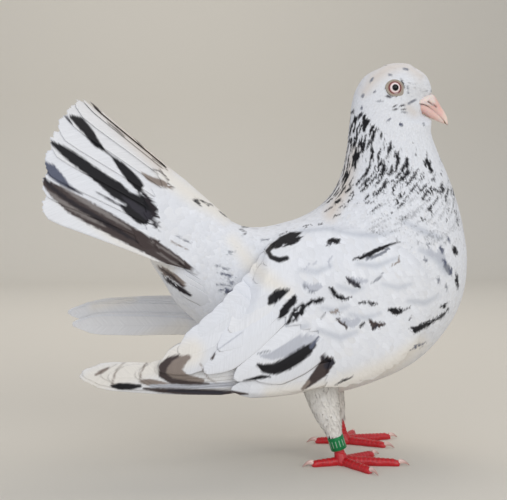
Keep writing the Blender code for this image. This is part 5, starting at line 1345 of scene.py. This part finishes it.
def makeEyeball(sideName, side):
    bpy.ops.object.select_all(action="DESELECT")
    centre = toFrame(np.array([eyeSpot[0], side * eye["out"], eyeSpot[1]]))
    bpy.ops.mesh.primitive_uv_sphere_add(segments=64, ring_count=40, radius=eye["radius"] / 1000,
                                         location=centre, rotation=(math.pi / 2, 0, 0))
    ball = bpy.context.object
    ball.name = "eyeball" + sideName
    bpy.ops.object.mode_set(mode="EDIT")
    bpy.ops.mesh.select_all(action="DESELECT")
    bpy.ops.object.mode_set(mode="OBJECT")
    for v in ball.data.vertices:  # the cornea stands a little out of the ball
        v.select = abs(v.co.z) > 0.0040
    bpy.ops.object.mode_set(mode="EDIT")
    bpy.ops.mesh.select_mode(type="VERT")
    bpy.ops.transform.resize(value=(0.97, 1.012, 0.97), center_override=ball.location)
    bpy.ops.object.mode_set(mode="OBJECT")
    bpy.ops.object.transform_apply(location=True, rotation=True, scale=True)
    ball.data.shade_smooth()
    ball.data.materials.append(eyeMaterial("matPearlEye" + sideName, side))
    carry(ball, "eye", "eye_" + sideName.lower())


def makeEyeRing(sideName, side):  # bare skin round the eye: lid edge, fine creases and two corners
    whole = 2 * math.pi
    turn = np.linspace(0, whole, 96, endpoint=False)
    (front, frontReach), (rear, rearReach) = eye["corners"]
    corner = frontReach * np.exp(-((turn - math.radians(front)) % whole) ** 2 / 0.12)
    corner += frontReach * np.exp(-((-turn + math.radians(front)) % whole) ** 2 / 0.12)
    corner += rearReach * np.exp(-(((turn - math.radians(rear) + math.pi) % whole) - math.pi) ** 2 / 0.2)
    rings, tints = [], []
    for radius, high, code in eye["ring"]:
        r = radius * (1 + corner * ease((radius - 4.2) / 2.2))
        x, z = eyeSpot[0] + r * np.cos(turn), eyeSpot[1] + r * np.sin(turn) * 0.94
        onBall = np.sqrt(np.maximum(eye["radius"] ** 2 - np.minimum(r, 4.6) ** 2, 0)) + eye["out"]
        y = blend(onBall, np.minimum(headSide(x, z), onBall + 3), ease((radius - 3.6) / 1.6)) + high - 0.45
        rings.append(np.stack([x, side * y, z], -1))
        # the ring's colours hold painted shade in its creases and along its outer edge
        tints.append(np.tile(linear(code), (len(turn), 1)))
    back = [ring - np.array([0, side * 1.6, 0]) for ring in rings[::-1]]
    # dry, finely wrinkled bare skin with papillae of 0.4 mm
    lid = grainyMaterial("matEyeRingSkin" + sideName, {"Roughness": 0.5}, "Voronoi", {"Scale": 2600.0},
                         {"Strength": 0.5, "Distance": 0.0002})
    batch = loftBatch(rings + back, tints=tints + tints[::-1], closed=True)
    carry(addMesh("eyeRing" + sideName, [batch], lid), "eye")


for sideName, side in (("Right", -1), ("Left", 1)):
    makeEyeball(sideName, side)
    makeEyeRing(sideName, side)
print("eyes ready")


# bill

bill = {  # x and z of the profile, x and z of the mouth's edge, half width
    "upper": [(107.5, 219.8, 98.6, 213.0, 5.3), (110.6, 220.3, 101.6, 213.2, 5.8),
              (113.0, 218.8, 105.2, 212.6, 5.3), (115.0, 216.0, 110.0, 210.2, 4.2),
              (116.9, 213.0, 113.4, 208.0, 2.9), (119.2, 209.8, 116.2, 205.9, 2.3),
              (121.0, 206.4, 118.6, 203.8, 1.7), (121.8, 203.4, 120.3, 202.2, 0.9)],
    "lower": [(103.2, 209.4, 100.4, 212.6, 4.4), (105.4, 208.2, 103.0, 212.9, 4.9),
              (109.0, 206.0, 106.2, 212.4, 4.7), (112.4, 204.6, 110.2, 210.4, 3.85),
              (114.8, 203.7, 113.5, 208.2, 2.75), (116.8, 202.9, 116.3, 206.1, 2.0),
              (118.6, 202.1, 118.7, 204.0, 1.2)],
    "upperTip": (121.6, 0, 200.9), "lowerTip": (119.7, 0, 201.9),
    "slit": ((107.2, 214.6), (113.2, 211.8), 0.5),  # ends and width of the nostril
    # root, end, where the one starts to pass into the other
    "upperTones": ("#E8BDB3", "#EED8CC", 115.5), "lowerTones": ("#EAC3BA", "#ECD3C8", 112.0),
    "cereTone": "#ECDAD4", "slitShadeTone": "#6B3F38", "mouthShadeTone": "#8A4A42", "tipTone": "#EAD6C8",
# the nostril's and the mouth's dark tones are painted shade in those openings
}


def billHalf(name, part, node):
    turn = math.pi / 2 * (1 - np.cos(np.linspace(0, math.pi, 29)))  # closer near the mouth's edges
    mouthEdgeShade = np.exp(-((turn / 0.16) ** 2)) + np.exp(-(((math.pi - turn) / 0.16) ** 2))
    rootTone, endTone, passes = bill[part + "Tones"]
    (start, end), slitWide = np.array(bill["slit"][:2]), bill["slit"][2]
    rings, tints = [], []
    for px, pz, mx, mz, wide in cubicRows(bill[part], np.linspace(0, len(bill[part]) - 1, 64)):
        profile, mouth = np.array([px, pz]), np.array([mx, mz])
        rise = profile - mouth
        tall = np.linalg.norm(rise)
        s = np.sin(turn)
        spots = mouth + rise / tall * (tall * np.where(s > 1e-6, s, 0) ** 0.85)[:, None]
        side = wide * np.cos(turn)
        tint = blend(linearRow(rootTone), linearRow(endTone), ease((spots[:, 0] - passes) / 5.0)[:, None])
        if part == "upper":  # the nostril's slit under the pale cere, painted dark as shade in its opening, and the cere's soft swelling
            along = np.clip(((spots - start) @ (end - start)) / ((end - start) @ (end - start)), 0, 1)
            away = np.linalg.norm(spots - (start + along[:, None] * (end - start)), axis=1)
            slit = np.exp(-(away / slitWide) ** 2)
            cere = ease((113.6 - spots[:, 0]) / 3.0) * ease((spots[:, 1] - 211.6) / 1.6)
            side = side * (1 - 0.22 * slit) * (1 + 0.10 * cere)
            tint = blend(tint, linearRow(bill["cereTone"]), cere[:, None])
            tint = blend(tint, linearRow(bill["slitShadeTone"]), slit[:, None])
        # painted shade along the mouth's edges, where the two halves meet
        tint = tint * (1 - 0.15 * mouthEdgeShade[:, None])
        ring = np.stack([spots[:, 0], side, spots[:, 1]], -1)
        inner = ring[-2:0:-1].copy()  # the closed mouth side, a little hollow, painted dark as shade in the mouth's line
        inner[:, 0], inner[:, 2] = mouth
        rings.append(np.vstack([ring, inner]))
        tints.append(np.vstack([tint, np.tile(linear(bill["mouthShadeTone"]), (len(inner), 1))]))
    batch = loftBatch(rings, None, bill[part + "Tip"], tints + [linearRow(bill["tipTone"])])
    carry(addMesh(name, [batch], billHorn), "bill_horn", node)


# thin horn over bone, satin at the tip and powdery on the cere, with blotches of about 0.9 mm
billHorn = grainyMaterial("matPinkBillHorn", {"Roughness": 0.42, "Subsurface Weight": 0.15,
                                              "Subsurface Scale": 0.002, "Coat Weight": 0.15},
                          "Noise", {"Scale": 1100.0, "Detail": 4.0}, {"Strength": 0.25, "Distance": 0.0002},
                          (0.88, 1.08))
billHalf("billUpper", "upper", "bill_upper")
billHalf("billLower", "lower", "bill_lower")
print("bill ready")


# legs, toes and claws

foot = {
    # degrees from straight ahead, length, radius at the root and at the end
    "toes": {"inner": (-33.0, 24.0, 3.0, 2.25), "middle": (13.0, 30.0, 3.3, 2.35),
             "outer": (62.0, 21.0, 3.0, 2.25), "hind": (172.0, 15.5, 2.9, 2.2)},
    # x, y, z and two radii, where the toes meet
    "hub": [(0.6, 0.0, 0.0, 4.4, 4.0), (0.5, 0.0, 1.0, 4.9, 4.5), (0.2, 0.0, 2.6, 4.8, 4.4),
            (-0.4, 0.05, 4.6, 4.0, 3.8), (-1.3, 0.2, 6.8, 3.2, 3.1)],
    "shank": ((-1.2, 0.2, 6.0), (-5.0, 0.7, 21.5)),
    "skinTones": ("#C9101E", "#B6101D", "#DA5862"),  # on the plates, between them and up the shank
    "clawTones": ("#E8C9C0", "#B98F86"),  # root and tip
}
red, deepRed, pinkRed = (linearRow(code) for code in foot["skinTones"])
clawRoot, clawTip = (linearRow(code) for code in foot["clawTones"])
around = np.linspace(0, 2 * math.pi, 32, endpoint=False)


def scuteSaw(share):  # a plate that rises to its end and drops to the next one
    f = share - np.floor(share)
    return np.where(f < 0.82, f / 0.82, (1 - f) / 0.18)


def levelRing(x, y, z, wideX, wideY):
    return np.stack([x + wideX * np.cos(around), y + wideY * np.sin(around), np.full(len(around), z)], -1)


def shankBatch(footX, footY, out):
    rings, tints = [], []
    for t in np.linspace(0, 4, 18):
        x, y, z, wideX, wideY = cubicRows(foot["hub"], np.array([t]))[0]
        knobs = np.sin(around * 9 + z * 3.1)
        wideX, wideY = wideX + 0.12 * knobs, wideY + 0.12 * knobs
        rings.append(levelRing(footX + x, footY - out * y, max(z, 0.0), wideX, wideY))
        tints.append(np.tile(red * 0.9, (len(around), 1)) * (1 + 0.15 * knobs)[:, None])
    low, high = np.array(foot["shank"])
    for s in np.linspace(0.06, 1, 90):
        x, y, z = low + (high - low) * s
        saw, front = scuteSaw(s * 7.0), ease((np.cos(around) + 0.25) / 0.5)
        creases = 0.1 * np.sin(around * 14 + s * 60) * (1 - front)
        radius = 2.75 + 0.32 * saw * front + creases + 0.25 * (1 - s) ** 3
        rings.append(levelRing(footX + x, footY - out * y, z, radius, radius))
        tint = blend(deepRed, red, np.clip(saw * front + 0.55 * (1 - front), 0, 1)[:, None])
        tints.append(blend(tint, tint * 0.5 + pinkRed * 0.5, ease((s - 0.45) / 0.4)))
    return loftBatch(rings, tints=tints)


def toeBatch(middle, ahead, across, long, root, end):
    plates, rings, tints = max(4, round(long / 2.6)), [], []
    for s in np.linspace(0, 1, plates * 9):
        saw, upper = scuteSaw(s * plates), ease((np.sin(around) + 0.1) / 0.5)
        joints = 0.18 * np.cos(s * 2 * math.pi * max(2, round(long / 9)) + 0.8) * (1 - upper)
        taper = (root + (end - root) * s) * (1 - 0.24 * ease((s - 0.9) / 0.1))
        radius = taper + 0.18 * saw * upper - 0.08 + joints
        ring = middle + ahead * (1.0 + (long + 1.6) * s) + across * (radius * np.cos(around))[:, None]
        ring[:, 2] = np.maximum(radius * 0.62 + radius * np.sin(around), 0.0)
        rings.append(ring)
        tints.append(blend(deepRed, red, np.clip(saw * upper + 0.5 * (1 - upper), 0, 1)[:, None]))
    return loftBatch(rings, rings[0].mean(0), rings[-1].mean(0) + ahead * 0.9, tints + [red, pinkRed])


def clawBatch(start, ahead, across, curl):
    rings, tints = [], []
    for s in np.linspace(0, 0.97, 26):
        radius = 1.45 * (1 - s) ** 0.62 + 0.05
        high = 2.35 + 0.5 * math.sin(math.pi * s) * curl - 1.95 * s ** 2
        centre = start + ahead * 6.4 * s + np.array([0, 0, high])
        spine = 1 + 0.12 * np.exp(-((around - math.pi / 2) / 0.4) ** 2)
        ring = centre + across * (radius * 0.74 * np.cos(around))[:, None]
        ring[:, 2] = np.maximum(centre[2] + radius * spine * np.sin(around), 0.02)
        rings.append(ring)
        tints.append(np.tile(blend(clawRoot, clawTip, ease(s)), (len(around), 1)))
    return loftBatch(rings, rings[0].mean(0) - ahead * 0.3, rings[-1].mean(0) + ahead * 0.25,
                     tints + [clawRoot, clawTip])


def makeLeg(leg):
    footX, footY, out = legs[leg]
    middle = np.array([footX, footY, 0])
    batches, clawBatches = [shankBatch(footX, footY, out)], []
    for name, (degrees, long, root, end) in foot["toes"].items():
        a = math.radians(degrees)
        ahead = np.array([math.cos(a), out * math.sin(a), 0])
        across = np.array([-ahead[1], ahead[0], 0])
        batches.append(toeBatch(middle, ahead, across, long, root, end))
        start = middle + ahead * (3.0 + long - 0.6)
        clawBatches.append(clawBatch(start, ahead, across, 1.25 if name == "hind" else 1.0))
    ends = [toe + "_" + leg for toe in foot["toes"]]
    carry(addMesh("foot" + leg.title(), batches, scutedSkin), "leg_skin", "tarsus_" + leg,
          *["toe_" + end for end in ends])
    carry(addMesh("claws" + leg.title(), clawBatches, clawHorn), "claw_horn",
          *["claw_" + end for end in ends])


# horny plates over moist red skin, with fine cells of about 0.8 mm between the plates
scutedSkin = grainyMaterial("matRedScutedSkin", {"Roughness": 0.38, "Coat Weight": 0.2, "Coat Roughness": 0.3,
                                                 "Subsurface Weight": 0.1, "Subsurface Scale": 0.0015},
                            "Voronoi", {"Scale": 1300.0}, {"Strength": 0.4, "Distance": 0.0003}, (0.8, 1.12))
# pale polished horn with streaks of about 1 mm
clawHorn = grainyMaterial("matPaleClawHorn", {"Roughness": 0.35, "Coat Weight": 0.2},
                          "Noise", {"Scale": 900.0}, {"Strength": 0.4, "Distance": 0.0001}, (0.8, 1.12))
for leg in legs:
    makeLeg(leg)


# ring on the right leg

legRing = {"centre": (-2.9, 0.4, 12.9), "radius": 4.25, "thick": 0.45, "tall": 3.9,
           "lean": (-0.30, 0.0, 0.95), "green": "#0B7A43", "pale": "#C9E4D2",
           "marks": 14, "markThin": 0.72, "markHigh": 0.0019}


def makeRing():
    footX, footY, out = legs["right"]
    cx, cy, cz = legRing["centre"]
    lean = Vector(legRing["lean"]).normalized().to_track_quat("Z", "Y").to_euler()
    centre = toFrame(np.array([footX + cx, footY - out * cy, cz]))
    bpy.ops.object.select_all(action="DESELECT")
    bpy.ops.mesh.primitive_cylinder_add(vertices=72, radius=(legRing["radius"] + legRing["thick"]) / 1000,
                                        depth=2 * legRing["tall"] / 1000, end_fill_type="NOTHING")
    ring = bpy.context.object
    ring.name, ring.rotation_euler, ring.location = "legRing", lean, centre
    bpy.ops.object.transform_apply(location=True, rotation=True, scale=True)
    wall = ring.modifiers.new("wall", "SOLIDIFY")
    wall.thickness, wall.offset = 2 * legRing["thick"] / 1000, -1
    bpy.ops.object.modifier_apply(modifier=wall.name)
    edge = ring.modifiers.new("edge", "BEVEL")
    edge.width, edge.segments, edge.limit_method = 0.00018, 2, "ANGLE"
    bpy.ops.object.modifier_apply(modifier=edge.name)
    ring.data.shade_smooth()
    ring.data.set_sharp_from_angle(angle=math.radians(40))
    # dyed anodised aluminium: a clear green with a satin metal sheen, and plain pale strokes cut round it
    green, shader = newMaterial("matGreenAnodisedRing", {"Roughness": 0.3, "Metallic": 0.35})
    place = addNode(green, "ShaderNodeTexCoord")
    turnBack = addNode(green, "ShaderNodeMapping", {"vector_type": "TEXTURE", 1: tuple(centre),
                                                    2: tuple(lean)}, {0: place.outputs["Object"]})
    parts = addNode(green, "ShaderNodeSeparateXYZ", links={0: turnBack.outputs[0]})
    wear = addNode(green, "ShaderNodeTexNoise", {"Scale": 1600.0, "Detail": 3.0},
                   {"Vector": place.outputs["Object"]})  # scuffs of 0.6 mm
    angle = addNode(green, "ShaderNodeMath", {"operation": "ARCTAN2"},
                    {0: parts.outputs["Y"], 1: parts.outputs["X"]})
    steps = addNode(green, "ShaderNodeMath", {"operation": "MULTIPLY", 1: legRing["marks"]},
                    {0: angle.outputs[0]})
    wave = addNode(green, "ShaderNodeMath", {"operation": "SINE"}, {0: steps.outputs[0]})
    stroke = addNode(green, "ShaderNodeMath", {"operation": "GREATER_THAN", 1: legRing["markThin"]},
                     {0: wave.outputs[0]})
    height = addNode(green, "ShaderNodeMath", {"operation": "ABSOLUTE"}, {0: parts.outputs["Z"]})
    inBand = addNode(green, "ShaderNodeMath", {"operation": "LESS_THAN", 1: legRing["markHigh"]},
                     {0: height.outputs[0]})
    both = addNode(green, "ShaderNodeMath", {"operation": "MULTIPLY"},
                   {0: stroke.outputs[0], 1: inBand.outputs[0]})
    worn = addNode(green, "ShaderNodeMath", {"operation": "MULTIPLY"},
                   {0: both.outputs[0], 1: wear.outputs["Fac"]})
    colour = addNode(green, "ShaderNodeMix", {"data_type": "RGBA", 6: (*linear(legRing["green"]), 1),
                                              7: (*linear(legRing["pale"]), 1)}, {0: worn.outputs[0]})
    connect(green, shader, {"Base Color": colour.outputs[2]})
    ring.data.materials.append(green)
    carry(ring, "band", "leg_band")


makeRing()
print("legs ready")
